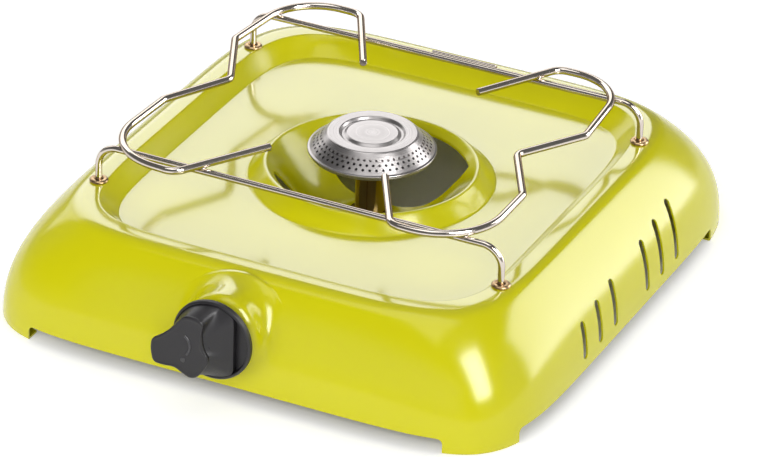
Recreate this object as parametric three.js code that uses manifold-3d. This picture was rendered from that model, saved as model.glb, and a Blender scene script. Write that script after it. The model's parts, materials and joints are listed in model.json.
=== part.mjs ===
// Camping gas stove: a pressed steel base with one burner in its well, a lift-off wire pan
// support, a gas tap with its knob at the front, and a hose inlet at the back.
// Millimetres, +Z up. The knob side faces -Y. The origin is on the ground, under the burner.
import * as THREE from 'three';
import { mergeVertices } from 'three/addons/utils/BufferGeometryUtils.js';
import Module from 'manifold-3d';

const wasm = await Module();
wasm.setup();

// Shared sizes
const fit = 0.3;                 // clearance between neighbouring pieces
const overrun = 2;               // how far a cut runs past what it cuts
const mergeTolerance = 1e-4;      // corners nearer than this are one corner
const basePoints = 56;           // points round the base
const turnedPoints = 36;         // points round the burner, the bosses and the knob
const smallPoints = 16;          // points round small turned pieces
const tinyPoints = 12;           // points round sockets, screws and bores
const wirePoints = 8;            // points round a wire
const bendSteps = 4;             // straight steps along a wire's bend

// Base: pressed sheet, in plan a rounded square with bowed sides at each level
const sheet = 1;
const hem = { halfX: 150, halfY: 160, squareness: 6.8 };
const skirtRunX = 36.5;          // from the hem in to the crest
const skirtRunY = 35.5;
const trayRunX = 10.5;           // from the crest in to the middle of the tray's wall
const trayRunY = 9.5;
const crestSquareness = 5.8;
const traySquareness = 6.2;
const crestZ = 59.4;
const crestRound = 3.5;
const crestDrop = 1.2;
const trayDepth = 9.2;
const trayFillet = 2.4;
const trayFilletRise = 1.2;
const skirtSpread = 1.96;        // powers of the skirt's swelling curve
const skirtRise = 0.84;
const skirtAngles = [0, 8, 20, 34, 48, 62];
const cornerCrowding = 0.6;      // crowds the points round the base towards its corners

// Well: a ring raised from the tray, with a bowl inside it and an air window each side of a strap
const wellCrestRadius = 55;
const wellRun = 9;               // from the crest out to the foot
const wellHeight = 8.5;
const wellRound = 1.6;
const wellDrop = 0.8;
const bowlDepth = 29.7;
const bowlFlatRadius = 18;
const bowlReachShares = [0, 0.27, 0.49, 0.66, 0.82, 0.94];
const bowlRiseShares = [0, 0.1, 0.31, 0.55, 0.79, 0.94];
const windowInset = 5.5;         // from the well's crest in to the windows
const strapHalfWidth = 13;
const strapFlare = 11.5;
const strapFlarePower = 2.2;
const windowCornerInset = 6;     // from the windows' radius in to the end of their straight side
const windowArcSteps = 12;
const strapSteps = 5;            // steps along half a window's straight side

// Skirt: feet at the corners, vents in both sides
const hemHeight = 8;
const footWidthX = 34.5;
const footFrontY = 32;
const footBackY = 53;
const footLip = 6;
const ventWidth = 4;
const ventPitch = 19;
const ventGroupY = 39.4;
const ventLowZ = 16;
const ventShortZ = 29;           // top of the shortest vent
const ventStepZ = 2.2;           // how much higher each next vent reaches
const ventLean = 0.27;
const ventEndSteps = 2;
const ventsPerGroup = 3;

// Bosses that carry the tap and the inlet
const tapX = -4.7;
const tapZ = 37.5;
const tapStandOut = 3;           // how far the boss's face stands out past the hem
const tapBossRadius = 22;
const tapBossReach = 36;
const tapBossEdge = 7;
const inletX = 62;
const inletZ = 22;
const inletStandOut = 1;
const inletBossRadius = 12.5;
const inletBossReach = 22;
const inletBossEdge = 2.5;
const bossHollowShare = 0.7;
const bossEdgeAngles = [30, 60, 90];

// Pan support: two bent wires that stand in sockets, two loops and a short bar welded to them
const legInsetX = 0.5;           // from the crest in to the legs
const legInsetY = 38;
const railRadius = 1.75;
const railZ = 80.3;
const railBend = 11;
const loopRadius = 2;
const loopTipX = 33;
const loopTipY = 53.5;
const loopRunX = 42.5;           // from a finger's bend out to the loop's side
const loopOverhang = 12.5;       // from the legs out to the loop's straight run
const loopInset = 8.5;           // from the legs in to the loop's side
const loopKneeY = 37;
const loopApexDepth = 21;
const loopTightBend = 6;
const loopFingerBend = 9;
const loopWideBend = 34;
const leftLoopStretch = 4.5;     // how much further back the left loop runs
const barRadius = 1.5;
const barLength = 37;
const barMiddleX = 10;

// Sockets for the four wire legs
const socketWall = 1;
const socketDepth = 13;
const socketFlange = 1.4;
const socketCollar = 1.6;
const socketBead = 0.3;

// Burner head
const flangeRadius = 33.5;
const flangeZ = 66.7;
const capTopRadius = 23.3;
const capHeight = 10;
const capSheet = 0.8;
const capRound = 1;
const capLip = 1.2;
const grooveRadius = 15;
const grooveWidth = 2.4;
const grooveDepth = 0.9;
const portRadius = 0.95;
const portRowShares = [0.3, 0.52, 0.74];
const portsPerRow = turnedPoints / 2;
const portSides = 4;
const cupDrop = 7.5;
const cupFloorRadius = 13;
const cupRimWidth = 2;

// Mixing tube, clamped to the strap
const tubeRadius = 8.2;
const tubeWall = 1;
const tubeCollarRadius = 11;
const tubeCollar = 1.6;
const airHoleRadius = 2.4;
const airHoles = 4;
const tubeNutFlat = 22;
const tubeNutHeight = 4;
const tubeWasherRadius = 12.5;
const tubeWasherHeight = 1;

// Jet and its holder under the tube
const holderWidth = 17;
const holderHeight = 9;
const holderGroundGap = 3.5;
const spigotHeight = 4;
const jetRadius = 3;
const jetHeight = 6;
const jetHexHeight = 3;
const jetNoseRadii = [2.4, 1.8];
const jetShankRadius = 1.9;
const jetShankHeight = 3;
const jetHoleRadius = 0.4;
const jetBoreRadius = 0.9;

// Gas pipes and their nuts
const feedRadius = 3;
const feedBore = 2;
const feedBend = 6.5;
const feedRunOut = 30;           // length of the feed pipe's last, straight run
const supplyRadius = 3.5;
const supplyBore = 2.5;
const supplyBend = 12;
const supplyRunOut = 34;         // length of the supply pipe's last, straight run
const pipeNutWall = 2;
const pipeNutHeight = 7;
const pipeNutBite = 2;           // how far a pipe nut reaches over its stub
const stubWall = 1.5;
const stubLength = 3;

// Gas tap, behind the tap boss
const neckRadius = 6;
const neckLength = 4.5;
const tapCollarRadius = 8;
const tapCollarLength = 3.5;
const tapPlateHeight = 4;
const tapBarrelRadius = 11;
const tapBarrelLength = 30;
const tapEarX = 15;
const tapEarRadius = 4;
const tapEarSharpness = 8;
const tapPortBack = 19;          // where the ports are, behind the barrel's front
const chamberRadius = 6.3;
const chamberTaper = 0.8;
const chamberLength = 25;
const plugGap = 2.1;             // room in front of the plug for its spring washer
const plugSlotDepth = 3;
const plugSlotWidth = 2.4;
const springWasherRise = 0.5;
const springWasherHeight = 0.7;
const ringSection = 0.8;
const spindleRadius = 3;
const spindleReach = 14.5;       // how far the spindle stands in front of the boss
const spindleFlat = 1;
const tongueLength = 5;          // across the spindle's foot
const tapNutFlat = 17;
const tapNutHeight = 3;
const screwRadius = 1.5;
const screwHeadRadius = 2.6;
const screwHeadHeight = 1.8;
const screwSlotWidth = 0.7;
const screwSlotDepth = 0.9;
const screwLength = 10;

// Knob
const knobGap = 3;
const knobRadius = 21.5;
const knobRim = 3.8;
const knobRimWidth = 1.8;
const knobRecess = 3;
const knobDepth = 15.5;
const knobEdge = 0.8;
const knobGripRadius = 19.8;
const knobGripSide = 13.5;
const knobHollowRadius = 12.5;
const knobHollowDepth = 3;
const clipWidth = 2.4;
const clipHeight = 8;
const gripPoints = 36;
const gripHeartShare = -0.2;     // middle of the grip, in shares of the knob's radius from the axis
// The grip's face, seen from the front, in shares of the knob's radius, anticlockwise from its tail
const gripFaceShares = [
  [-1.24, 0], [-1.29, -0.16], [-1.28, -0.38], [-1.2, -0.6], [-0.94, -0.63], [-0.68, -0.62],
  [-0.46, -0.72], [-0.29, -0.79], [-0.12, -0.74], [0.02, -0.59], [0.15, -0.36], [0.19, -0.17],
  [0.11, -0.02], [0.04, 0.18], [0.03, 0.44], [0.05, 0.66], [-0.01, 0.77], [-0.23, 0.81],
  [-0.42, 0.79], [-0.57, 0.65], [-0.74, 0.43], [-0.99, 0.18],
];

// Inlet union and hose nozzle at the back
const unionRadius = 6.5;
const unionHexFlat = 17;
const unionHexHeight = 6;
const unionReach = 14;           // how far the union stands in behind the boss face
const unionNutFlat = 18;
const unionNutHeight = 5;
const unionWasherRadius = 9;
const unionWasherHeight = 1;
const nozzleLength = 14.2;
const nozzleRootRadius = 4;
const nozzleBarb = 1.1;
const nozzleBarbs = 3;
const nozzleBore = 2.5;
const barbRootShare = 0.15;
const barbTopShare = 0.25;

// Places that follow from the sizes above
const crest = {
  halfX: hem.halfX - skirtRunX, halfY: hem.halfY - skirtRunY, squareness: crestSquareness,
};
const tray = {
  halfX: crest.halfX - trayRunX, halfY: crest.halfY - trayRunY, squareness: traySquareness,
};
const footGapX = hem.halfX - footWidthX;
const footGapY = 2 * hem.halfY - footFrontY - footBackY;
const tapFaceY = hem.halfY + tapStandOut;
const inletFaceY = hem.halfY + inletStandOut;
const legX = crest.halfX - legInsetX;
const legY = crest.halfY - legInsetY;
const loopSideX = legX - loopInset;
const loopBendX = loopSideX - loopRunX;
const loopApexX = loopSideX - loopApexDepth;
const loopRunY = legY + loopOverhang;
const trayZ = crestZ - trayDepth;
const wellFootRadius = wellCrestRadius + wellRun;
const windowRadius = wellCrestRadius - windowInset;
const windowCorner = windowRadius - windowCornerInset;
const wellCrestZ = trayZ + wellHeight;
const bowlZ = wellCrestZ - bowlDepth;
const loopZ = railZ + railRadius + loopRadius + fit;
const socketBore = railRadius + fit;
const socketRadius = socketBore + socketWall;
const socketFloorZ = crestZ + fit - socketDepth;
const capTopZ = flangeZ + capHeight;
const cupZ = flangeZ - fit;
const tubeTopZ = cupZ - cupDrop;
const holderTopZ = holderGroundGap + holderHeight;
const feedZ = holderGroundGap + holderHeight / 2;
const knobFrontY = tapFaceY + knobGap + knobDepth;
const inletEndY = inletFaceY + fit + unionHexHeight + nozzleLength;

// Materials
function material(color, roughness, metalness) {
  return new THREE.MeshStandardMaterial({ color, roughness, metalness });
}
const enamel = material(0xc8d400, 0.2, 0);
const wireChrome = material(0xd6d2cc, 0.15, 1);
const stainless = material(0xbdb9b4, 0.32, 1);
const brass = material(0xb99a4b, 0.3, 1);
const zinc = material(0xaeb2b4, 0.4, 1);
const copper = material(0xb87a55, 0.35, 1);
const blackPlastic = material(0x2b2b2e, 0.5, 0);
const blackRubber = material(0x1c1c1c, 0.8, 0);

// Booleans
function toSolid(geometry) {
  const bare = geometry.clone();
  bare.deleteAttribute('normal');
  bare.deleteAttribute('uv');
  const merged = mergeVertices(bare, mergeTolerance);
  const vertProperties = new Float32Array(merged.attributes.position.array);
  const triVerts = new Uint32Array(merged.index.array);
  return new wasm.Manifold(new wasm.Mesh({ numProp: 3, vertProperties, triVerts }));
}

function toGeometry(solid) {
  const { vertProperties, triVerts } = solid.getMesh();
  const geometry = new THREE.BufferGeometry();
  geometry.setAttribute('position', new THREE.BufferAttribute(new Float32Array(vertProperties), 3));
  geometry.setIndex(new THREE.BufferAttribute(new Uint32Array(triVerts), 1));
  geometry.computeVertexNormals();
  return geometry;
}

function carve(geometry, added, cut) {
  let solid = toSolid(geometry);
  for (const piece of added) solid = solid.add(toSolid(piece));
  for (const piece of cut) solid = solid.subtract(toSolid(piece));
  return toGeometry(solid);
}

// Basic forms, each along its own +Z
function turned(profile, sides = smallPoints) {
  const points = profile.map(([radius, z]) => new THREE.Vector2(radius, z));
  return new THREE.LatheGeometry(points, sides).rotateX(Math.PI / 2);
}

function rod(radius, fromZ, toZ, sides = smallPoints) {
  return turned([[0, fromZ], [radius, fromZ], [radius, toZ], [0, toZ]], sides);
}

function pipe(radius, bore, fromZ, toZ, sides = smallPoints) {
  return turned([[bore, fromZ], [radius, fromZ], [radius, toZ], [bore, toZ], [bore, fromZ]], sides);
}

function polygon(radius, sides) {
  const corners = [];
  for (let i = 0; i < sides; i += 1) {
    const turn = (i / sides) * Math.PI * 2;
    corners.push(new THREE.Vector2(radius * Math.cos(turn), radius * Math.sin(turn)));
  }
  return corners;
}

function prism(outline, holes, fromZ, toZ) {
  const shape = new THREE.Shape(outline);
  for (const hole of holes) shape.holes.push(new THREE.Path(hole));
  const geometry = new THREE.ExtrudeGeometry(shape, { depth: toZ - fromZ, bevelEnabled: false });
  return geometry.translate(0, 0, fromZ);
}

function hexNut(flat, bore, fromZ, toZ) {
  return prism(polygon(flat / Math.sqrt(3), 6), [polygon(bore, smallPoints)], fromZ, toZ);
}

function block(sizeX, sizeY, fromZ, toZ) {
  return new THREE.BoxGeometry(sizeX, sizeY, toZ - fromZ).translate(0, 0, (fromZ + toZ) / 2);
}

// A lofted solid through rings of equally many points, closed at both ends by flat or coned caps
function loft(rings) {
  const count = rings[0].length;
  const positions = rings.flat().flatMap((p) => [p.x, p.y, p.z]);
  const index = [];
  for (let k = 0; k + 1 < rings.length; k += 1) {
    for (let i = 0; i < count; i += 1) {
      const j = (i + 1) % count;
      const low = k * count;
      const high = low + count;
      index.push(low + i, low + j, high + j, low + i, high + j, high + i);
    }
  }
  for (const [k, flip] of [[0, true], [rings.length - 1, false]]) {
    const middle = new THREE.Vector3();
    for (const p of rings[k]) middle.addScaledVector(p, 1 / count);
    const tip = positions.length / 3;
    positions.push(middle.x, middle.y, middle.z);
    for (let i = 0; i < count; i += 1) {
      const a = k * count + i;
      const b = k * count + ((i + 1) % count);
      index.push(...(flip ? [b, a, tip] : [a, b, tip]));
    }
  }
  const geometry = new THREE.BufferGeometry();
  geometry.setAttribute('position', new THREE.BufferAttribute(new Float32Array(positions), 3));
  geometry.setIndex(index);
  return geometry;
}

// A wire or pipe along straight runs joined by round bends
class BentPath extends THREE.Curve {
  constructor(corners, bends) {
    super();
    this.stops = [{ point: corners[0], tangent: direction(corners[0], corners[1]) }];
    for (let i = 1; i + 1 < corners.length; i += 1) {
      this.addBend(corners[i - 1], corners[i], corners[i + 1], bends[i - 1]);
    }
    const last = corners.length - 1;
    this.stops.push({ point: corners[last], tangent: direction(corners[last - 1], corners[last]) });
  }

  addBend(before, corner, after, radius) {
    const inward = direction(before, corner);
    const outward = direction(corner, after);
    const turn = inward.angleTo(outward);
    const setback = radius * Math.tan(turn / 2);
    const axis = new THREE.Vector3().crossVectors(inward, outward).normalize();
    const start = corner.clone().addScaledVector(inward, -setback);
    const spoke = new THREE.Vector3().crossVectors(axis, inward).multiplyScalar(-radius);
    const centre = start.clone().sub(spoke);
    for (let k = 0; k <= bendSteps; k += 1) {
      const angle = (turn * k) / bendSteps;
      const point = spoke.clone().applyAxisAngle(axis, angle).add(centre);
      this.stops.push({ point, tangent: inward.clone().applyAxisAngle(axis, angle) });
    }
  }

  stop(share) {
    return this.stops[Math.round(share * (this.stops.length - 1))];
  }

  getPoint(share) { return this.stop(share).point.clone(); }
  getPointAt(share) { return this.stop(share).point.clone(); }
  getTangentAt(share) { return this.stop(share).tangent.clone(); }
}

function direction(from, to) {
  return to.clone().sub(from).normalize();
}

function place(x, y, z) {
  return new THREE.Vector3(x, y, z);
}

function drawn(section, corners, bends) {
  const path = new BentPath(corners, bends);
  const options = { steps: path.stops.length - 1, extrudePath: path, bevelEnabled: false };
  return new THREE.ExtrudeGeometry(section, options);
}

function wire(radius, corners, bends) {
  return drawn(new THREE.Shape(polygon(radius, wirePoints)), corners, bends);
}

function bentPipe(radius, bore, corners, bends) {
  const section = new THREE.Shape(polygon(radius, wirePoints));
  section.holes.push(new THREE.Path(polygon(bore, wirePoints)));
  return drawn(section, corners, bends);
}

function piece(name, geometry, look) {
  const mesh = new THREE.Mesh(geometry, look);
  mesh.name = name;
  return mesh;
}

// Base shell
function ring(level, z) {
  const points = [];
  for (let i = 0; i < basePoints; i += 1) {
    const even = (i / basePoints) * Math.PI * 2;
    const turn = even + (cornerCrowding / 4) * Math.sin(4 * even);
    const x = Math.cos(turn);
    const y = Math.sin(turn);
    const power = level.squareness;
    const sum = Math.abs(x / level.halfX) ** power + Math.abs(y / level.halfY) ** power;
    const radius = sum ** (-1 / power);
    points.push(place(radius * x, radius * y, z));
  }
  return points;
}

function between(from, to, share) {
  return {
    halfX: from.halfX + (to.halfX - from.halfX) * share,
    halfY: from.halfY + (to.halfY - from.halfY) * share,
    squareness: from.squareness + (to.squareness - from.squareness) * share,
  };
}

function grown(level, reach) {
  return { ...level, halfX: level.halfX + reach, halfY: level.halfY + reach };
}

function circle(radius) {
  return { halfX: radius, halfY: radius, squareness: 2 };
}

// The sheet's outside, from the skirt's edge over the crest and the well down to the bowl's floor
function shellLevels() {
  const levels = skirtAngles.map((degrees) => {
    const angle = THREE.MathUtils.degToRad(degrees);
    const level = between(crest, hem, Math.cos(angle) ** skirtSpread);
    return [level, crestZ * Math.sin(angle) ** skirtRise];
  });
  levels.push([crest, crestZ]);
  levels.push([grown(crest, -crestRound), crestZ - crestDrop]);
  levels.push([grown(tray, trayFillet), trayZ + trayFilletRise]);
  levels.push([grown(tray, -trayFillet), trayZ]);
  levels.push([circle(wellFootRadius), trayZ]);
  levels.push([circle(wellCrestRadius + wellRound), wellCrestZ - wellDrop]);
  levels.push([circle(wellCrestRadius), wellCrestZ]);
  for (let i = bowlReachShares.length - 1; i >= 0; i -= 1) {
    const radius = bowlFlatRadius + (wellCrestRadius - bowlFlatRadius) * bowlReachShares[i];
    levels.push([circle(radius), bowlZ + bowlDepth * bowlRiseShares[i]]);
  }
  return levels;
}

// The sheet's inside: each level moved square to the section by the sheet's thickness
function shellInside(levels) {
  return levels.map(([level, z], i) => {
    const before = levels[Math.max(i - 1, 0)];
    const after = levels[Math.min(i + 1, levels.length - 1)];
    const across = after[0].halfX - before[0].halfX;
    const up = after[1] - before[1];
    const scale = sheet / Math.hypot(across, up);
    return [grown(level, -up * scale), z + across * scale];
  });
}

function shellFeet(inside) {
  const footing = grown(hem, -sheet - footLip);
  const edge = [[footing, -overrun], [footing, sheet], [grown(hem, -sheet), sheet]];
  return [...edge, ...inside.slice(1)];
}

function lofted(levels) {
  return loft(levels.map(([level, z]) => ring(level, z)));
}

function bossForm(radius, edge, reach) {
  const profile = [[0, -reach], [radius, -reach], [radius, -edge]];
  for (const degrees of bossEdgeAngles) {
    const angle = THREE.MathUtils.degToRad(degrees);
    profile.push([radius - edge + edge * Math.cos(angle), -edge + edge * Math.sin(angle)]);
  }
  profile.push([0, 0]);
  return turned(profile, turnedPoints);
}

// Turns a form along +Z to face the front or the back, at its place on the base
function facingFront(geometry) {
  return geometry.rotateX(Math.PI / 2).translate(tapX, -tapFaceY, tapZ);
}

function facingBack(geometry) {
  return geometry.rotateX(-Math.PI / 2).translate(inletX, inletFaceY, inletZ);
}

function windowOutline(side) {
  const outline = [];
  const corner = Math.acos(windowCorner / windowRadius);
  for (let i = 0; i <= windowArcSteps; i += 1) {
    const turn = corner + (Math.PI - corner * 2) * (i / windowArcSteps);
    outline.push(new THREE.Vector2(windowRadius * Math.cos(turn), side * windowRadius * Math.sin(turn)));
  }
  for (let i = -strapSteps; i <= strapSteps; i += 1) {
    const share = i / (strapSteps + 1);
    const y = strapHalfWidth + strapFlare * Math.abs(share) ** strapFlarePower;
    outline.push(new THREE.Vector2(windowCorner * share, side * y));
  }
  return outline;
}

function windowCut(side) {
  return prism(windowOutline(side), [], bowlZ - overrun, wellCrestZ);
}

function ventOutline(bottomY, topZ) {
  const outline = [];
  const topY = bottomY + (topZ - ventLowZ) * ventLean;
  for (const [y, z, start] of [[bottomY, ventLowZ, Math.PI], [topY, topZ, 0]]) {
    for (let i = 0; i <= ventEndSteps; i += 1) {
      const turn = start + (Math.PI * i) / ventEndSteps;
      const reach = ventWidth / 2;
      outline.push(new THREE.Vector2(y + reach * Math.cos(turn), z + reach * Math.sin(turn)));
    }
  }
  return outline;
}

function ventCuts() {
  const cuts = [];
  const middle = (ventsPerGroup - 1) / 2;
  for (let i = 0; i < ventsPerGroup * 2; i += 1) {
    const group = i < ventsPerGroup ? -1 : 1;
    const bottomY = group * ventGroupY + ((i % ventsPerGroup) - middle) * ventPitch;
    const outline = ventOutline(bottomY, ventShortZ + ventStepZ * i);
    for (const side of [-1, 1]) {
      const cut = prism(outline, [], 0, hem.halfX - crest.halfX + overrun);
      // The outline's plane is turned upright, so that the cut runs out through the side
      const upright = new THREE.Matrix4().set(0, 0, 1, 0, 1, 0, 0, 0, 0, 1, 0, 0, 0, 0, 0, 1);
      cut.applyMatrix4(upright);
      const start = side > 0 ? crest.halfX : -hem.halfX - overrun;
      cuts.push(cut.translate(start, 0, 0));
    }
  }
  return cuts;
}

function footCuts() {
  const length = 2 * (hem.halfY + overrun);
  const width = 2 * (hem.halfX + overrun);
  const alongY = block(2 * footGapX, length, -overrun, hemHeight);
  const alongX = block(width, footGapY, -overrun, hemHeight);
  return [alongY, alongX.translate(0, (footFrontY - footBackY) / 2, 0)];
}

function socketHoles() {
  const holes = [];
  for (const [x, y] of legPlaces()) {
    const hole = rod(socketRadius + fit, crestZ - socketDepth, crestZ + overrun, tinyPoints);
    holes.push(hole.translate(x, y, 0));
  }
  return holes;
}

function legPlaces() {
  return [[-legX, -legY], [legX, -legY], [legX, legY], [-legX, legY]];
}

// The pressed sheet, less whatever one of its pieces leaves to the others
function pressedSheet(name, left) {
  const levels = shellLevels();
  const tapBoss = facingFront(bossForm(tapBossRadius, tapBossEdge, tapBossReach));
  const inletBoss = facingBack(bossForm(inletBossRadius, inletBossEdge, inletBossReach));
  const tapHollow = bossForm(tapBossRadius - sheet, tapBossEdge - sheet, tapBossReach * bossHollowShare);
  const inletHollow = bossForm(
    inletBossRadius - sheet, inletBossEdge - sheet, inletBossReach * bossHollowShare);
  const cuts = [
    lofted(shellFeet(shellInside(levels))),
    facingFront(tapHollow.translate(0, 0, -sheet)),
    facingBack(inletHollow.translate(0, 0, -sheet)),
    facingFront(rod(neckRadius + fit, -sheet - overrun, overrun)),
    facingBack(rod(unionRadius + fit, -sheet - overrun, overrun)),
    rod(tubeRadius + fit, bowlZ - sheet - overrun, bowlZ + overrun),
    windowCut(-1),
    windowCut(1),
    ...footCuts(),
    ...ventCuts(),
    ...socketHoles(),
    ...left,
  ];
  return piece(name, carve(lofted(levels), [tapBoss, inletBoss], cuts), enamel);
}

function upright(level) {
  return lofted([[level, -overrun], [level, crestZ + overrun]]);
}

function allBut(form) {
  const width = 2 * (hem.halfX + overrun);
  const length = 2 * (tapFaceY + overrun);
  const whole = block(width, length, -2 * overrun, crestZ + 2 * overrun);
  return carve(whole, [], [form.scale(1, 1, 2)]);
}

// The sheet is kept as three neighbours: the base with its rim, the tray's floor, and the well
function baseSheet() {
  const group = new THREE.Group();
  const trayEdge = grown(tray, -trayFillet);
  const wellEdge = circle(wellFootRadius);
  group.add(pressedSheet('body_shell', [upright(grown(trayEdge, fit))]));
  group.add(pressedSheet('drip_tray', [allBut(upright(trayEdge)), upright(grown(wellEdge, fit))]));
  group.add(pressedSheet('burner_well', [allBut(upright(wellEdge))]));
  return group;
}

// Pan support
function rail(name, side) {
  const footZ = socketFloorZ + socketWall + fit;
  const y = side * legY;
  const corners = [
    place(-legX, y, footZ), place(-legX, y, railZ), place(legX, y, railZ), place(legX, y, footZ),
  ];
  return piece(name, wire(railRadius, corners, [railBend, railBend]), wireChrome);
}

function loop(name, side, stretch) {
  const half = [
    place(side * loopTipX, -loopTipY, loopZ), place(side * loopBendX, -loopRunY, loopZ),
    place(side * loopSideX, -loopRunY, loopZ), place(side * loopSideX, -loopKneeY, loopZ),
  ];
  const apex = place(side * loopApexX, stretch, loopZ);
  const [otherTip, ...otherCorners] = half.map((p) => place(p.x, -p.y, p.z));
  const otherHalf = [otherTip, ...otherCorners.map((p) => p.setY(p.y + stretch))].reverse();
  const bends = [loopFingerBend, loopWideBend, loopTightBend, loopTightBend,
    loopTightBend, loopWideBend, loopFingerBend];
  return piece(name, wire(loopRadius, [...half, apex, ...otherHalf], bends), wireChrome);
}

function rearBar() {
  const y = legY + railRadius + barRadius + fit;
  const corners = [place(barMiddleX - barLength / 2, y, railZ), place(barMiddleX + barLength / 2, y, railZ)];
  return piece('rear_bar', wire(barRadius, corners, []), wireChrome);
}

function panSupport() {
  const group = new THREE.Group();
  group.add(rail('front_wire', -1), rail('back_wire', 1));
  group.add(loop('left_loop', -1, leftLoopStretch), loop('right_loop', 1, 0), rearBar());
  return group;
}

// A leg socket is a cup with a rolled flange that sits on the crest
function socketForm() {
  const flangeRadiusOut = socketRadius + socketCollar;
  return turned([
    [0, -socketDepth], [socketRadius, -socketDepth], [socketRadius, 0], [flangeRadiusOut, 0],
    [flangeRadiusOut + socketBead, socketFlange / 2], [flangeRadiusOut, socketFlange],
    [socketBore, socketFlange], [socketBore, socketWall - socketDepth], [0, socketWall - socketDepth],
  ], tinyPoints);
}

function sockets() {
  const group = new THREE.Group();
  const names = ['front_left', 'front_right', 'back_right', 'back_left'];
  legPlaces().forEach(([x, y], i) => {
    const socket = piece(`leg_socket_${names[i]}`, socketForm(), wireChrome);
    socket.position.set(x, y, crestZ + fit);
    group.add(socket);
  });
  return group;
}

// Burner
function capForm() {
  const grooveIn = grooveRadius - grooveWidth / 2;
  const grooveOut = grooveRadius + grooveWidth / 2;
  const sideRadius = flangeRadius - capRound;
  const under = capTopZ - capSheet;
  return turned([
    [0, under - grooveDepth], [capTopRadius - capRound - capSheet, under - grooveDepth],
    [capTopRadius - capSheet, capTopZ - capRound - capSheet], [sideRadius - capSheet, flangeZ],
    [flangeRadius, flangeZ], [flangeRadius, flangeZ + capLip / 2], [sideRadius, flangeZ + capLip],
    [capTopRadius, capTopZ - capRound], [capTopRadius - capRound, capTopZ],
    [grooveOut, capTopZ], [grooveRadius, capTopZ - grooveDepth], [grooveIn, capTopZ], [0, capTopZ],
  ], turnedPoints);
}

// Each port is in the middle of a facet, and the rows are staggered by one facet
function portCuts() {
  const cuts = [];
  const run = flangeRadius - capRound - capTopRadius;
  const drop = capHeight - capRound - capLip;
  const tilt = Math.atan2(run, drop);
  portRowShares.forEach((share, row) => {
    for (let i = 0; i < portsPerRow; i += 1) {
      const port = rod(portRadius, -overrun, overrun, portSides);
      port.rotateY(tilt);
      port.translate(capTopRadius + run * share, 0, capTopZ - capRound - drop * share);
      const facet = i * 2 + (row % 2) + 0.5;
      cuts.push(port.rotateZ((facet / turnedPoints) * Math.PI * 2));
    }
  });
  return cuts;
}

function burnerCap() {
  return piece('burner_cap', carve(capForm(), [], portCuts()), stainless);
}

// The cup under the cap stands on the mixing tube and is open into it
function burnerCup() {
  const bore = tubeRadius - tubeWall;
  const rim = flangeRadius - capSheet;
  const top = cupZ;
  const floor = cupZ - cupDrop + fit;
  return piece('burner_cup', turned([
    [bore, floor], [cupFloorRadius, floor], [rim - capRound, top - capSheet], [rim, top - capSheet],
    [rim, top], [rim - cupRimWidth, top], [cupFloorRadius, floor + capSheet], [bore, floor + capSheet],
    [bore, floor],
  ], turnedPoints), stainless);
}

function mixingTube() {
  const bore = tubeRadius - tubeWall;
  const collarZ = bowlZ + fit;
  const form = turned([
    [bore, holderTopZ + fit], [tubeRadius, holderTopZ + fit], [tubeRadius, collarZ],
    [tubeCollarRadius, collarZ], [tubeCollarRadius, collarZ + tubeCollar],
    [tubeRadius, collarZ + tubeCollar], [tubeRadius, tubeTopZ - tubeCollar],
    [tubeCollarRadius, tubeTopZ], [bore, tubeTopZ], [bore, holderTopZ + fit],
  ], smallPoints);
  const holes = [];
  const holeZ = holderTopZ + spigotHeight + airHoleRadius;
  for (let i = 0; i < airHoles; i += 1) {
    const hole = rod(airHoleRadius, 0, tubeRadius + overrun, tinyPoints).rotateY(Math.PI / 2);
    holes.push(hole.translate(0, 0, holeZ).rotateZ(((i + 0.5) / airHoles) * Math.PI * 2));
  }
  return piece('mixing_tube', carve(form, [], holes), zinc);
}

function tubeClamp() {
  const top = bowlZ - sheet - fit;
  const washerZ = top - tubeWasherHeight;
  const nutZ = washerZ - fit - tubeNutHeight;
  const bore = tubeRadius + fit;
  const washer = piece('mixing_tube_washer', pipe(tubeWasherRadius, bore, washerZ, top), zinc);
  const nut = piece('mixing_tube_nut', hexNut(tubeNutFlat, bore, nutZ, nutZ + tubeNutHeight), brass);
  return [washer, nut];
}

function jetHolder() {
  const spigot = tubeRadius - tubeWall - fit;
  const spigotZ = holderTopZ + spigotHeight;
  const form = block(holderWidth, holderWidth, holderGroundGap, holderTopZ);
  const stub = rod(feedRadius + stubWall, 0, holderWidth / 2 + stubLength);
  const added = [rod(spigot, feedZ, spigotZ), stub.rotateX(Math.PI / 2).translate(0, 0, feedZ)];
  const seat = rod(jetShankRadius + fit, spigotZ - jetShankHeight - fit, spigotZ + overrun, tinyPoints);
  const riser = rod(feedBore, feedZ, spigotZ, tinyPoints);
  const entry = rod(feedBore, 0, holderWidth + overrun, tinyPoints);
  const cuts = [seat, riser, entry.rotateX(Math.PI / 2).translate(0, 0, feedZ)];
  return piece('jet_holder', carve(form, added, cuts), brass);
}

function jet() {
  const base = holderTopZ + spigotHeight + fit;
  const top = base + jetHeight;
  const form = prism(polygon(jetRadius, 6), [], base, base + jetHexHeight);
  const [low, high] = jetNoseRadii;
  const nose = turned([[0, base], [low, base], [high, top], [0, top]], tinyPoints);
  const shank = rod(jetShankRadius, base - jetShankHeight, base + jetHexHeight, tinyPoints);
  const bore = rod(jetBoreRadius, base - jetShankHeight - overrun, base + jetHexHeight, tinyPoints);
  const hole = rod(jetHoleRadius, base, top + overrun, wirePoints);
  return piece('jet', carve(form, [nose, shank], [bore, hole]), brass);
}

function burner() {
  const group = new THREE.Group();
  group.add(burnerCap(), burnerCup(), mixingTube(), ...tubeClamp(), jetHolder(), jet());
  return group;
}

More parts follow.
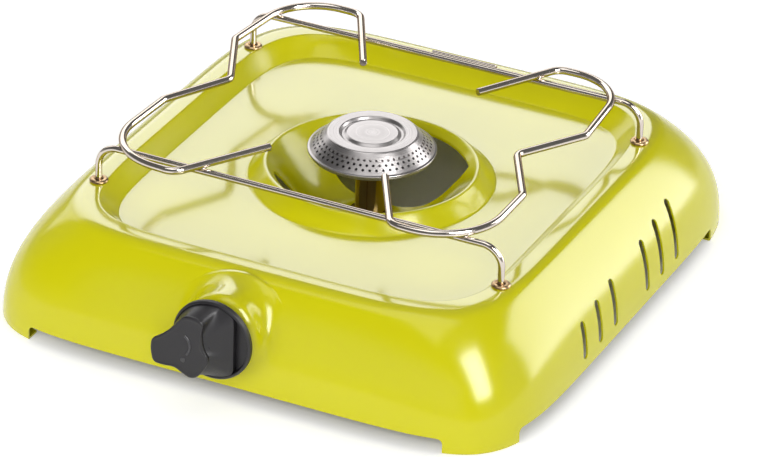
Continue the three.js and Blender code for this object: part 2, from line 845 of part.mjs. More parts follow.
// Gas tap, in a frame whose +Z points forwards from the middle of the boss face
const plateBack = -sheet - fit - tapCollarLength - tapPlateHeight;
const barrelFront = plateBack - fit;
const portZ = barrelFront - tapPortBack;
const plugFront = barrelFront - plugGap;
const tapInletReach = tapEarX + tapEarRadius - fit;

function earedOutline() {
  const outline = [];
  for (let i = 0; i < smallPoints; i += 1) {
    const turn = (i / smallPoints) * Math.PI * 2;
    const x = tapBarrelRadius * Math.cos(turn);
    const ear = Math.abs(Math.cos(turn)) ** tapEarSharpness * (tapEarX + tapEarRadius - tapBarrelRadius);
    outline.push(new THREE.Vector2(x + Math.sign(x) * ear, tapBarrelRadius * Math.sin(turn)));
  }
  return outline;
}

function screwHoles(fromZ, toZ) {
  const hole = rod(screwRadius + fit, fromZ, toZ, tinyPoints);
  return [-1, 1].map((side) => hole.clone().translate(side * tapEarX, 0, 0));
}

function tapCover() {
  const collarBack = plateBack + tapPlateHeight;
  const form = prism(earedOutline(), [], plateBack, collarBack);
  const collar = rod(tapCollarRadius, collarBack - fit, -sheet - fit);
  const neck = rod(neckRadius, collarBack - fit, neckLength);
  const bore = rod(spindleRadius + fit, plateBack - overrun, neckLength + overrun);
  const seatRadius = spindleRadius + (fit + ringSection) * 2;
  const ringSeat = rod(seatRadius, plateBack - overrun, plateBack + ringSection * 2 + fit);
  const cuts = [bore, ringSeat, ...screwHoles(plateBack - overrun, collarBack + overrun)];
  return piece('tap_cover', carve(form, [collar, neck], cuts), brass);
}

function tapBody() {
  const back = barrelFront - tapBarrelLength;
  const plate = prism(earedOutline(), [], barrelFront - tapPlateHeight, barrelFront);
  const barrel = rod(tapBarrelRadius, back, barrelFront, smallPoints);
  const outlet = rod(feedRadius + stubWall, 0, tapBarrelRadius + stubLength);
  const inlet = rod(supplyRadius + stubWall, 0, tapInletReach);
  const added = [
    plate,
    outlet.rotateX(Math.PI / 2).translate(0, 0, portZ),
    inlet.rotateY(Math.PI / 2).translate(0, 0, portZ),
  ];
  const chamberBack = barrelFront - chamberLength;
  const chamber = turned([
    [0, chamberBack], [chamberRadius - chamberTaper, chamberBack], [chamberRadius, barrelFront],
    [chamberRadius, barrelFront + overrun], [0, barrelFront + overrun],
  ]);
  const reach = tapInletReach + overrun;
  const cuts = [
    chamber,
    rod(feedBore, 0, reach, tinyPoints).rotateX(Math.PI / 2).translate(0, 0, portZ),
    rod(supplyBore, 0, reach, tinyPoints).rotateY(Math.PI / 2).translate(0, 0, portZ),
    ...screwHoles(barrelFront - screwLength - overrun, barrelFront + overrun),
  ];
  return piece('tap_body', carve(barrel, added, cuts), brass);
}

// The plug's two holes meet inside it and line up with the ports when the knob has turned a quarter
function tapPlug() {
  const back = barrelFront - chamberLength + fit * 2;
  const slope = chamberTaper / chamberLength;
  const radiusAt = (z) => chamberRadius - fit - (barrelFront - z) * slope;
  const form = turned([[0, back], [radiusAt(back), back], [radiusAt(plugFront), plugFront], [0, plugFront]]);
  const slotLength = (chamberRadius + overrun) * 2;
  const slot = block(slotLength, plugSlotWidth, plugFront - plugSlotDepth - fit, plugFront + overrun);
  const cuts = [
    slot,
    rod(feedBore, 0, chamberRadius + overrun, tinyPoints).rotateX(Math.PI / 2).translate(0, 0, portZ),
    rod(feedBore, 0, chamberRadius + overrun, tinyPoints).rotateY(-Math.PI / 2).translate(0, 0, portZ),
  ];
  return piece('tap_plug', carve(form, [], cuts), brass);
}

function springWasher() {
  const inner = spindleRadius + fit;
  const outer = chamberRadius - fit * 2;
  const low = plugFront + fit;
  return piece('tap_spring_washer', turned([
    [inner, low + springWasherRise], [outer, low], [outer, low + springWasherHeight],
    [inner, low + springWasherRise + springWasherHeight], [inner, low + springWasherRise],
  ]), zinc);
}

function spindleSeal() {
  const radius = spindleRadius + fit + ringSection;
  const middleZ = plateBack + fit / 2 + ringSection;
  const section = polygon(ringSection, wirePoints).map((p) => [radius + p.x, middleZ + p.y]);
  return piece('spindle_seal', turned([...section, section[0]]), blackRubber);
}

function spindle() {
  const foot = plugFront + fit;
  const form = rod(spindleRadius, foot, spindleReach);
  const tongueWidth = plugSlotWidth - fit * 2;
  const tongue = block(tongueLength, tongueWidth, plugFront - plugSlotDepth + fit, foot + fit);
  const flat = block(spindleRadius * 2, spindleRadius * 2, neckLength, spindleReach + overrun);
  flat.translate(0, spindleRadius * 2 - spindleFlat, 0);
  return piece('tap_spindle', carve(form, [tongue], [flat]), brass);
}

function tapScrew(name, side) {
  const seat = plateBack + tapPlateHeight + fit;
  const top = seat + screwHeadHeight;
  const form = rod(screwHeadRadius, seat, top, tinyPoints);
  const shank = rod(screwRadius, seat - screwLength, top - screwSlotDepth, tinyPoints);
  const slot = block((screwHeadRadius + overrun) * 2, screwSlotWidth, top - screwSlotDepth, top + overrun);
  const screw = piece(name, carve(form, [shank], [slot]), zinc);
  screw.position.x = side * tapEarX;
  return screw;
}

function tapNut() {
  return piece('tap_nut', hexNut(tapNutFlat, neckRadius + fit, fit, fit + tapNutHeight), zinc);
}

// The grip is lofted from its footing on the disc to its whistle-shaped face
function gripRings() {
  const curvePoints = gripFaceShares.map(([x, y]) => place(x * knobRadius, y * knobRadius, 0));
  const curve = new THREE.CatmullRomCurve3(curvePoints, true, 'centripetal');
  const face = curve.getSpacedPoints(gripPoints).slice(0, gripPoints);
  const heart = place(knobRadius * gripHeartShare, 0, 0);
  const footing = face.map((p) => {
    const ray = direction(heart, p);
    const along = -heart.dot(ray);
    const reach = along + Math.sqrt(along ** 2 - heart.lengthSq() + knobGripRadius ** 2);
    const side = ray.x > 0 ? (knobGripSide - heart.x) / ray.x : reach;
    return heart.clone().addScaledVector(ray, Math.min(reach, side));
  });
  const top = knobGap + knobDepth;
  const raised = (points, z, inset) => points.map((p) => {
    const spoke = p.clone().sub(heart);
    return heart.clone().addScaledVector(spoke, 1 - inset / spoke.length()).setZ(z);
  });
  return [
    raised(footing, knobGap + (knobRim - knobRecess) / 2, 0), raised(footing, knobGap + knobRim, 0),
    raised(face, top - knobEdge, 0), raised(face, top, knobEdge),
  ];
}

function knob() {
  const back = knobGap;
  const front = knobGap + knobRim;
  const inner = knobRadius - knobRimWidth;
  const disc = turned([
    [0, back], [knobRadius - knobEdge, back], [knobRadius, back + knobEdge],
    [knobRadius, front - knobEdge], [knobRadius - knobEdge, front], [inner, front],
    [inner - knobEdge, front - knobRecess], [0, front - knobRecess],
  ], turnedPoints);
  const hollow = rod(knobHollowRadius, back - overrun, back + knobHollowDepth);
  const socket = rod(spindleRadius + fit, back, spindleReach + fit);
  return piece('knob', carve(disc, [loft(gripRings())], [hollow, socket]), blackPlastic);
}

// A steel leaf grips the flat of the spindle
function knobClip() {
  const low = spindleRadius - spindleFlat + fit;
  const high = Math.sqrt((spindleRadius + fit) ** 2 - (clipWidth / 2) ** 2) - fit / 2;
  const form = block(clipWidth, high - low, spindleReach - clipHeight, spindleReach);
  return piece('knob_clip', form.translate(0, (low + high) / 2, 0), zinc);
}

function tap() {
  const group = new THREE.Group();
  group.add(tapBody(), tapCover(), tapPlug(), springWasher(), spindleSeal(), spindle(), tapNut());
  group.add(tapScrew('tap_screw_left', -1), tapScrew('tap_screw_right', 1), knob(), knobClip());
  group.position.set(tapX, -tapFaceY, tapZ);
  group.rotation.x = Math.PI / 2;
  return group;
}

// Inlet, in a frame whose +Z points backwards from the middle of the boss face
function nozzleProfile() {
  const seat = fit + unionWasherHeight + fit;
  const root = seat + unionHexHeight;
  const pitch = (nozzleLength - unionWasherHeight - fit) / nozzleBarbs;
  const profile = [
    [nozzleBore, -unionReach], [unionRadius, -unionReach], [unionRadius, seat + fit],
    [nozzleRootRadius + nozzleBarb, seat + fit], [nozzleRootRadius + nozzleBarb, root],
  ];
  for (let i = 0; i < nozzleBarbs; i += 1) {
    profile.push([nozzleRootRadius, root + pitch * (i + barbRootShare)]);
    profile.push([nozzleRootRadius + nozzleBarb, root + pitch * (i + barbTopShare)]);
  }
  profile.push([nozzleRootRadius, root + pitch * nozzleBarbs]);
  profile.push([nozzleBore, root + pitch * nozzleBarbs], [nozzleBore, -unionReach]);
  return { profile, seat, root };
}

function inletUnion() {
  const { profile, seat, root } = nozzleProfile();
  const hex = hexNut(unionHexFlat, nozzleBore + nozzleBarb, seat, root);
  return piece('inlet_union', carve(turned(profile), [hex], []), brass);
}

function inlet() {
  const group = new THREE.Group();
  const bore = unionRadius + fit;
  const nutTop = -sheet - fit;
  const washer = pipe(unionWasherRadius, bore, fit, fit + unionWasherHeight);
  const nut = hexNut(unionNutFlat, bore, nutTop - unionNutHeight, nutTop);
  group.add(inletUnion(), piece('inlet_washer', washer, blackRubber), piece('inlet_nut', nut, zinc));
  group.position.set(inletX, inletFaceY, inletZ);
  group.rotation.x = -Math.PI / 2;
  return group;
}

// Pipes and their nuts
const portY = -tapFaceY - portZ;
const feedTopZ = tapZ - tapBarrelRadius - stubLength - fit;
const feedEndY = -holderWidth / 2 - stubLength - fit;
const supplyStartX = tapX + tapInletReach + fit;
const supplyEndY = inletFaceY - unionReach - fit;

function feedPipe() {
  const corners = [
    place(tapX, portY, feedTopZ), place(tapX, portY, feedZ),
    place(0, feedEndY - feedRunOut, feedZ), place(0, feedEndY, feedZ),
  ];
  return piece('feed_pipe', bentPipe(feedRadius, feedBore, corners, [feedBend, feedBend]), copper);
}

function supplyPipe() {
  const corners = [
    place(supplyStartX, portY, tapZ), place(inletX, portY, tapZ),
    place(inletX, supplyEndY - supplyRunOut, inletZ), place(inletX, supplyEndY, inletZ),
  ];
  return piece('supply_pipe', bentPipe(supplyRadius, supplyBore, corners, [supplyBend, supplyBend]), copper);
}

// A pipe nut is a hexagon whose front reaches over the stub and whose back closes on the pipe
function pipeNut(name, pipeRadius, stubRadius, at, turnX, turnY) {
  const outer = stubRadius + fit + pipeNutWall;
  const bore = pipeRadius + fit;
  const form = hexNut(outer * 2, bore, pipeNutBite - pipeNutHeight, pipeNutBite);
  const mouth = rod(stubRadius + fit, -fit, pipeNutBite + overrun);
  const nut = piece(name, carve(form, [], [mouth]), brass);
  nut.position.copy(at);
  nut.rotation.set(turnX, turnY, 0);
  return nut;
}

function gasLine() {
  const group = new THREE.Group();
  const feedStub = feedRadius + stubWall;
  const supplyStub = supplyRadius + stubWall;
  const quarter = Math.PI / 2;
  const feedTop = place(tapX, portY, feedTopZ);
  const feedEnd = place(0, feedEndY, feedZ);
  const supplyStart = place(supplyStartX, portY, tapZ);
  const supplyEnd = place(inletX, supplyEndY, inletZ);
  group.add(feedPipe(), supplyPipe());
  group.add(pipeNut('feed_nut_tap', feedRadius, feedStub, feedTop, 0, 0));
  group.add(pipeNut('feed_nut_jet', feedRadius, feedStub, feedEnd, -quarter, 0));
  group.add(pipeNut('supply_nut_tap', supplyRadius, supplyStub, supplyStart, 0, -quarter));
  group.add(pipeNut('supply_nut_inlet', supplyRadius, unionRadius, supplyEnd, -quarter, 0));
  return group;
}

const stove = new THREE.Group();
stove.add(baseSheet(), sockets(), panSupport(), burner(), tap(), inlet(), gasLine());
// The middle of the stove's length is put over the origin
stove.position.y = (knobFrontY - inletEndY) / 2;

export default stove;
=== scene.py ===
# Looks of a camping gas stove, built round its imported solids. Metres, +Z up, the knob faces -Y.
import json
import math

import bpy
import numpy as np
from mathutils import Matrix, Vector


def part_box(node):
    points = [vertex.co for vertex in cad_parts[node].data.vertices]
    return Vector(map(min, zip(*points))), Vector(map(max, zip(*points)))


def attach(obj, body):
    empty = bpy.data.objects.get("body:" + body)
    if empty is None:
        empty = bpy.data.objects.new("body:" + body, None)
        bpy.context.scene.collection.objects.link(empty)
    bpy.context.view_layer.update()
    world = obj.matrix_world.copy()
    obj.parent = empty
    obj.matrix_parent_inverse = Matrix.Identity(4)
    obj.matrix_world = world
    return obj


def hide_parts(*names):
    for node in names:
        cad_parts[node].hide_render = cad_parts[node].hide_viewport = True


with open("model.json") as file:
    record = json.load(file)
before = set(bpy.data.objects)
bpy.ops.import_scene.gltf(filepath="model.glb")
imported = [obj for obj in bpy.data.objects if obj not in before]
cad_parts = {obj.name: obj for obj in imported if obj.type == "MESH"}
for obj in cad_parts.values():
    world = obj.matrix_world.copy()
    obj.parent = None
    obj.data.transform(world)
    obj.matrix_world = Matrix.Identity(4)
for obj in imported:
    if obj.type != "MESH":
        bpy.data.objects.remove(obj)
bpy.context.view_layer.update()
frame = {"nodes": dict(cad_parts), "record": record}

MM = 0.001

# Camera, with its angles in degrees
CAMERA_AZIMUTH, CAMERA_ELEVATION, CAMERA_ROLL = 24.92, 28.87, 1.91
CAMERA_PLACE = Vector((0.9780, -2.0922, 1.2933))
LENS = 240.36
SENSOR = 36.0
VIEW_END = 50.0

# The studio's walls are pale near the floor and its ceiling is dark
WALL_LOW, WALL_HIGH = 0.0, 0.35     # heights on the unit sphere
WALL_LIGHT, CEILING_LIGHT = 0.45, 0.14
FLOOR_HALF = 6.0
FLOOR_DROP = 0.05 * MM
# The floor's glow fades out under and round the base, which paints shade there.
FLOOR_LIFT = 0.5           # what the floor adds round the object, to be white
LIFT_POWER = 6.0
LIFT_START, LIFT_END = 0.45, 1.25   # where it sets in and is full, of the base's outline as 1
LAMP_DISTANCE = 2.4
LAMP_AIM = (0.0, 0.0, 0.04)

# Looks
NOISE_MIDDLE = (0.3, 0.7)  # most of a noise's values lie between these
FINE_RELIEF, WAVY_RELIEF = 0.05 * MM, 0.2 * MM
COAT_LEVEL_START, COAT_LEVEL_END = 0.9, 0.995      # how level the sheet is, by its normal

# Smoothness
ROUND = 288                # points round the base
TURNED = 96                # points round large turned pieces
MIDDLE = 64                # points round middling ones
FINE = 48                  # points round small ones
SMALL = 32                 # points round smaller ones
TINY = 24                  # points round the smallest
WIRE_SIDES = 28
WIRE_STEP = 5 * MM
BEND_STEP = math.radians(5)
SHARP, KNOB_SHARP = math.radians(32), math.radians(38)
FILLET_STEPS = 6
MOST_SETBACK = 0.49        # of a side, for a round at its end
SOFTEN_STEPS = 5
SOFTEN_LEAST = math.radians(30)
MOST_SOFTENED = 0.9
THIRD_SHARES = (0.33, 0.67)
CUT_OVER = 3 * MM          # what a cutter reaches past the sheet
NEAR = 1e-9

# Base sheet
SHEET = 1.0 * MM
HEM_POWER, CREST_POWER, TRAY_POWER = 6.8, 5.8, 6.2
POWER_RUN_SHARE = 0.1      # of the crest's half width, to change from one power to the next
CREST_INSET_X, CREST_INSET_Y = 36.5 * MM, 35.5 * MM     # from the hem in to the legs' line
SKIRT_SPREAD, SKIRT_RISE = 1.96, 0.84
SKIRT_STEPS = 34
SKIRT_START, SKIRT_TOP = math.radians(0.45), math.radians(88)
SHOULDER_ROUND = 12 * MM
SHOULDER_SLOPE = math.radians(43)
LAND_OUT, LAND_IN = 4.2 * MM, 1.0 * MM      # the crest's level land, each side of the legs' line
CREST_ROUND = 1.8 * MM
WALL_SLOPE = math.radians(47)
TRAY_DEPTH = 9.2 * MM
TRAY_ROUND = 1.4 * MM
TRAY_RINGS = 7
SHOULDER_STEPS, CREST_STEPS, TRAY_STEPS = 9, 8, 6
CROWDING = 0.45            # how much the points round the base crowd into its corners
LIP = 7 * MM
HEM_ROUND = 0.8 * MM
HEM_ROUND_SHARE = 0.3
HEM_HEIGHT = 8 * MM
HEM_INSIDE = ((0.0, 1.9 * MM), (0.25 * MM, 1.25 * MM), (0.9 * MM, SHEET), (LIP - SHEET, SHEET))
INSIDE_LOWEST = 2.6 * MM
FOOT_WIDTH_X = 34.5 * MM
FOOT_FRONT_Y, FOOT_BACK_Y = 32 * MM, 53 * MM
NOTCH_DEPTH = 22 * MM
NOTCH_ROUND = 3.5 * MM

# Well
WELL_CREST = 55 * MM
WELL_HEIGHT = 8.5 * MM
WELL_SLOPE = math.radians(46)
WELL_FOOT_ROUND, WELL_CREST_ROUND = 2.5 * MM, 2.0 * MM
WELL_FOOT_STEPS, WELL_CREST_STEPS = 6, 10
BOWL_DEPTH = 29.7 * MM
BOWL_FLAT = 18 * MM
BOWL_LEVEL_RUNS = (6 * MM, 8 * MM)
BOWL_REACH_SHARES = (0.0, 0.27, 0.49, 0.66, 0.82)
BOWL_RISE_SHARES = (0.0, 0.1, 0.31, 0.55, 0.79)
BOWL_STEPS = 5
TUBE_HOLE = 8.5 * MM
WINDOW_RADIUS = 50.8 * MM
WINDOW_CORNER = 43.5 * MM
WINDOW_ROUND = 2.2 * MM
WINDOW_STEPS, STRAP_STEPS = 42, 30
STRAP_HALF = 13 * MM
STRAP_FLARE = 11.5 * MM
STRAP_POWER = 2.2

# Vents in the sides, in two groups
VENTS, VENT_GROUP = 6, 3
VENT_WIDTH = 5.2 * MM
VENT_PITCH = 19 * MM
VENT_GROUP_Y = 39.4 * MM
VENT_LOW = 16 * MM
VENT_SHORT = 29 * MM
VENT_STEP = 2.2 * MM
VENT_LEAN = 0.27
VENT_END_STEPS = 8

# Burner cap, cup and tube
CAP_SIDE_TOP = 23.3 * MM
CAP_THICKNESS = 2.6 * MM
GROOVE_OUT, GROOVE_IN = 17.2 * MM, 13.2 * MM
GROOVE_DEPTH, GROOVE_WALL = 1.4 * MM, 1.3 * MM
CAP_DISH = 0.2 * MM
PORT_RADIUS = 0.74 * MM
PORTS, PORT_SIDES = 54, 10
PORT_ROW_SHARES = (0.36, 0.57, 0.78)
CUP_FLAT = 13 * MM
CUP_SHEET = 0.8 * MM
TUBE_BORE, TUBE_OUTER = 7.2 * MM, 8.2 * MM
AIR_HOLES = 4
AIR_HOLE = 2.4 * MM
AIR_HOLE_Z = 18.9 * MM

# Pan support and its sockets
RAIL_BEND = 11 * MM
RAIL_CHAMFER, LOOP_CHAMFER = 0.25 * MM, 0.3 * MM
LOOP_BENDS = tuple(r * MM for r in (9, 34, 6, 6, 6, 30, 9))
LEFT_LOOP = tuple((x * MM, y * MM) for x, y in (
    (-32.5, -53), (-62.5, -101), (-107.5, -97.5), (-104, -33), (-84.5, 4),
    (-103.5, 46), (-97, 106.5), (-58.5, 105), (-32, 54)))
RIGHT_LOOP = tuple((x * MM, y * MM) for x, y in (
    (32.5, -53.5), (56.5, -97), (102, -98.5), (101.5, -37.5), (81, 0.3),
    (103.5, 36), (99, 98.5), (61, 97.5), (34.5, 53)))
WELD_GAP = 0.3 * MM
BEAD_RADIUS, BEAD_SHOULDER = 1.35 * MM, 1.05 * MM
BEAD_HALF, BEAD_STEP = 0.75 * MM, 0.55 * MM
SOCKET_BORE, SOCKET_WALL, SOCKET_HOLE = 2.05 * MM, 3.05 * MM, 3.2 * MM
SOCKET_FLANGE = 1.4 * MM

# Knob
KNOB_RIM = 3.8 * MM
KNOB_RIM_WIDTH = 1.6 * MM
KNOB_RECESS = 3.5 * MM
KNOB_HOLLOW, KNOB_HOLLOW_DEPTH = 11.6 * MM, 3 * MM
KNOB_BORE, KNOB_BORE_END = 3.3 * MM, 14.8 * MM
KNOB_GRIP_RADIUS = 19.8 * MM
KNOB_GRIP_SIDE = 12.3 * MM
KNOB_POINTS = 96
GRIP_STEPS, GRIP_RINGS = 24, 8
GRIP_EASE = 0.92
GRIP_DRAFT = 0.35 * MM
GRIP_HEART_SHARE = -0.2
GRIP_FACE_SHARES = (
    (-1.235, 0.0), (-1.285, -0.16), (-1.28, -0.38), (-1.2, -0.6), (-0.94, -0.63), (-0.681, -0.616),
    (-0.464, -0.719), (-0.291, -0.785), (-0.12, -0.74), (0.02, -0.59), (0.154, -0.358), (0.194, -0.17),
    (0.107, -0.019), (0.04, 0.182), (0.027, 0.442), (0.054, 0.66), (-0.011, 0.765), (-0.225, 0.809),
    (-0.418, 0.791), (-0.566, 0.649), (-0.735, 0.427), (-0.991, 0.18),
)
GRIP_EDGE = tuple((inset * MM, back * MM) for inset, back in (
    (0.05, 1.9), (0.0, 1.2), (0.0, 0.7), (0.25, 0.3), (0.6, 0.08), (1.1, 0.0), (1.6, 0.05),
    (2.1, 0.2), (2.7, 0.25), (6.0, 0.3)))
MARK_CENTRE, MARK_WIDE, MARK_TALL = (-11.4 * MM, 0.6 * MM), 5.6 * MM, 6.2 * MM
MARK_START, MARK_END = math.radians(-50), math.radians(62)
MARK_STEPS, MARK_SIDES = 14, 12
MARK_RADIUS, MARK_SUNK = 0.7 * MM, 0.42 * MM
DOT_RADIUS, DOT_LOW, DOT_HIGH = 1.35 * MM, 0.8 * MM, 0.02 * MM
DOT_PLACE = (-9.6 * MM, -7.6 * MM, 0)

# Inlet and pipes
NOZZLE_ROOT, NOZZLE_BARB, NOZZLE_BORE = 4.0 * MM, 5.1 * MM, 2.5 * MM
NOZZLE_THREAD = 6.5 * MM
BARBS = 3
BARB_SHARES = (0.12, 0.3, 0.98)
HEX_FLAT, HEX_BORE = 17 * MM, 3 * MM
HEX_LOW, HEX_HIGH = 1.6 * MM, 7.6 * MM
HEX_POINTS = 72
HEX_CHAMFER = 0.5 * MM
HEX_CAP_SHARE, HEX_CORNER_SHARE = 0.97, 0.3
FEED_BEND, FEED_RADIUS, FEED_BORE = 6.5 * MM, 3 * MM, 2 * MM
FEED_LOW, FEED_RISE = 8 * MM, 30 * MM
SUPPLY_BEND, SUPPLY_RADIUS, SUPPLY_BORE = 12 * MM, 3.5 * MM, 2.5 * MM
SUPPLY_RUN = 34 * MM

# Places read from the solids
shell_low, shell_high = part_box("body_shell")
HEM_X = 150 * MM
CREST_Z = shell_high.z
tap_screws = [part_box("tap_screw_left"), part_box("tap_screw_right")]
TAP_X = (tap_screws[0][0].x + tap_screws[1][1].x) / 2
TAP_Z = (tap_screws[0][0].z + tap_screws[0][1].z) / 2
TAP_FACE = -shell_low.y
HEM_Y = TAP_FACE - 3 * MM
inlet_low, inlet_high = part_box("inlet_washer")
INLET_X = (inlet_low.x + inlet_high.x) / 2
INLET_Z = (inlet_low.z + inlet_high.z) / 2
INLET_FACE = shell_high.y
CREST_X, CREST_Y = HEM_X - CREST_INSET_X, HEM_Y - CREST_INSET_Y
SHOULDER_OUT = LAND_OUT + SHOULDER_ROUND * math.sin(SHOULDER_SLOPE)
SHOULDER_Z = CREST_Z - SHOULDER_ROUND * (1 - math.cos(SHOULDER_SLOPE))
SKIRT_RUN_X, SKIRT_RUN_Y = CREST_INSET_X - SHOULDER_OUT, CREST_INSET_Y - SHOULDER_OUT
TRAY_Z = CREST_Z - TRAY_DEPTH
WELL_Z = TRAY_Z + WELL_HEIGHT
BOWL_Z = WELL_Z - BOWL_DEPTH
COAT_LOW, COAT_HIGH = TRAY_Z - 12 * MM, TRAY_Z - 4 * MM     # the second gloss fades in here
knob_low, knob_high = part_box("knob")
KNOB_RADIUS = (knob_high.z - knob_low.z) / 2
KNOB_GAP = abs(knob_high.y + TAP_FACE)
KNOB_DEPTH = knob_high.y - knob_low.y

# Bosses, on the front with side -1 or the back with side 1. The patch round one is found by rays
# from `back`, which start at its hole, end at the widest angle and don't go below `lowest`.
TAP_BOSS = {
    "x": TAP_X, "z": TAP_Z, "face": TAP_FACE, "side": -1, "radius": 20.2 * MM, "edge": 6.5 * MM,
    "blend": 9 * MM, "back": 118 * MM, "widest": math.radians(52), "hole": 6.3 * MM,
    "lowest": 11.5 * MM,
}
INLET_BOSS = {
    "x": INLET_X, "z": INLET_Z, "face": INLET_FACE, "side": 1, "radius": 12.3 * MM,
    "edge": 2.5 * MM, "blend": 5 * MM, "back": 136 * MM, "widest": math.radians(46),
    "hole": 6.8 * MM, "lowest": 8.4 * MM,
}
TAP_HOLE, TAP_HOLE_DEPTH = TAP_BOSS["radius"] - 3.5 * MM, 36.5 * MM
INLET_HOLE, INLET_HOLE_DEPTH = INLET_BOSS["radius"] - 2.5 * MM, 24 * MM
PATCH_ROWS, PATCH_COUNT = 72, 120
PATCH_PROUD, PATCH_SINK = 0.03 * MM, 0.35 * MM
SINK_ROWS = 4              # the patch's last rows, which dip into the sheet
LONGEST_RAY, HALVINGS = 0.11, 40

# Takes +Z of a form to +X, and its +X to +Y
SIDEWAYS = Matrix(((0, 0, 1, 0), (1, 0, 0, 0), (0, 1, 0, 0), (0, 0, 0, 1)))


# Materials
class Tree:
    """The nodes of a material or of the world, with short ways to add and join more."""

    def __init__(self, owner):
        owner.use_nodes = True
        self.owner = owner
        self.nodes, self.links = owner.node_tree.nodes, owner.node_tree.links

    def feed(self, socket, value):
        """Joins a socket to another node's, or sets its own value."""
        if isinstance(value, bpy.types.NodeSocket):
            self.links.new(value, socket)
        else:
            socket.default_value = value

    def add(self, kind, inputs, **settings):
        node = self.nodes.new("ShaderNode" + kind)
        for name, value in settings.items():
            setattr(node, name, value)
        for key, value in inputs.items():
            self.feed(node.inputs[key], value)
        return node

    def math(self, operation, *values):
        return self.add("Math", dict(enumerate(values)), operation=operation).outputs["Value"]

    def ranged(self, value, start, end, low=0.0, high=1.0, smooth=True):
        """Maps start to end onto low to high."""
        inputs = {"Value": value, "From Min": start, "From Max": end, "To Min": low, "To Max": high}
        kind = "SMOOTHSTEP" if smooth else "LINEAR"
        return self.add("MapRange", inputs, interpolation_type=kind).outputs["Result"]

    def axes(self, vector):
        return self.add("SeparateXYZ", {"Vector": vector}).outputs

    def place(self, stretch=(1.0, 1.0, 1.0)):
        """A point's own place on the piece, in metres, stretched along the axes."""
        own = self.add("TexCoord", {}).outputs["Object"]
        return self.add("Mapping", {"Vector": own, "Scale": stretch}).outputs["Vector"]

    def noise(self, scale, detail, stretch=(1.0, 1.0, 1.0)):
        inputs = {"Vector": self.place(stretch), "Scale": scale, "Detail": detail}
        return self.add("TexNoise", inputs).outputs["Fac"]


class Look(Tree):
    """A material, with its own colour, roughness and metal set on its shader."""

    def __init__(self, name, color, roughness, metallic):
        super().__init__(bpy.data.materials.new(name))
        self.shader = self.nodes["Principled BSDF"].inputs
        self.shader["Base Color"].default_value = (*color, 1.0)
        self.shader["Roughness"].default_value = roughness
        self.shader["Metallic"].default_value = metallic

    def tint(self, value, first, second):
        inputs = {"A": (*first, 1.0), "B": (*second, 1.0), "Factor": value}
        mixed = self.add("Mix", inputs, data_type="RGBA").outputs["Result"]
        self.feed(self.shader["Base Color"], mixed)

    def gloss(self, value, low, high):
        """Takes the roughness from low to high over a noise's middle range."""
        ranged = self.ranged(value, *NOISE_MIDDLE, low, high, smooth=False)
        self.feed(self.shader["Roughness"], ranged)

    def relief(self, value, strength, distance=FINE_RELIEF):
        inputs = {"Height": value, "Strength": strength, "Distance": distance}
        self.feed(self.shader["Normal"], self.add("Bump", inputs).outputs["Normal"])


def enamel_look():
    """Glossy enamel, with a second gloss where the sheet is level and above the bowl."""
    look = Look("enamel", (0.665, 0.63, 0.0), 0.16, 0.0)
    look.shader["Specular IOR Level"].default_value = 0.5
    upward = look.axes(look.add("NewGeometry", {}).outputs["Normal"])["Z"]
    level = look.ranged(upward, COAT_LEVEL_START, COAT_LEVEL_END)
    raised = look.ranged(look.axes(look.place())["Z"], COAT_LOW, COAT_HIGH)
    look.feed(look.shader["Coat Weight"], look.math("MULTIPLY", level, raised))
    look.shader["Coat IOR"].default_value = 1.75
    look.shader["Coat Roughness"].default_value = 0.1
    look.tint(look.noise(18.0, 2.0), (0.65, 0.615, 0.0), (0.68, 0.645, 0.0))
    look.gloss(look.noise(420.0, 2.0), 0.15, 0.2)
    look.relief(look.noise(160.0, 1.5), 0.04, WAVY_RELIEF)
    return look.owner


def chrome_look():
    look = Look("chrome_wire", (0.70, 0.65, 0.60), 0.1, 1.0)
    # Painted reflection: the brown tint at grazing angles gives the wires dark brown edges, standing in for
    # the yellow enamel they mirror. The warm colour is partly the plating's own and partly that painted
    # reflection.
    look.shader["Specular Tint"].default_value = (0.30, 0.22, 0.15, 1.0)
    look.tint(look.noise(60.0, 2.0), (0.74, 0.68, 0.62), (0.60, 0.53, 0.46))
    look.gloss(look.noise(900.0, 3.0), 0.06, 0.15)
    look.relief(look.noise(500.0, 2.0), 0.06)
    return look.owner


def brushed_look():
    """Pressed steel with rings left by turning, by the distance from the burner's axis."""
    look = Look("burner_steel", (0.66, 0.62, 0.60), 0.28, 1.0)
    place = look.axes(look.place())
    flat = look.add("CombineXYZ", {"X": place["X"], "Y": place["Y"]}).outputs["Vector"]
    reach = look.add("VectorMath", {0: flat}, operation="LENGTH").outputs["Value"]
    turned_place = look.add("CombineXYZ", {"X": reach, "Y": place["Z"]}).outputs["Vector"]
    inputs = {"Vector": turned_place, "Scale": 1500.0, "Detail": 4.0}
    rings = look.add("TexNoise", inputs).outputs["Fac"]
    look.tint(look.noise(90.0, 4.0), (0.46, 0.435, 0.43), (0.38, 0.36, 0.355))
    look.gloss(rings, 0.22, 0.38)
    look.relief(rings, 0.18)
    return look.owner


def plated_look():
    look = Look("plated_steel", (0.45, 0.45, 0.44), 0.25, 1.0)
    blotch = look.noise(260.0, 4.0)
    look.tint(blotch, (0.50, 0.50, 0.50), (0.38, 0.37, 0.36))
    look.gloss(blotch, 0.2, 0.38)
    look.relief(look.noise(700.0, 3.0), 0.1)
    return look.owner


def ferrule_look():
    look = Look("burnt_ferrule", (0.42, 0.29, 0.15), 0.22, 1.0)
    stain = look.noise(420.0, 4.0)
    look.tint(stain, (0.62, 0.46, 0.26), (0.24, 0.13, 0.06))
    look.gloss(stain, 0.18, 0.36)
    look.relief(stain, 0.08)
    return look.owner


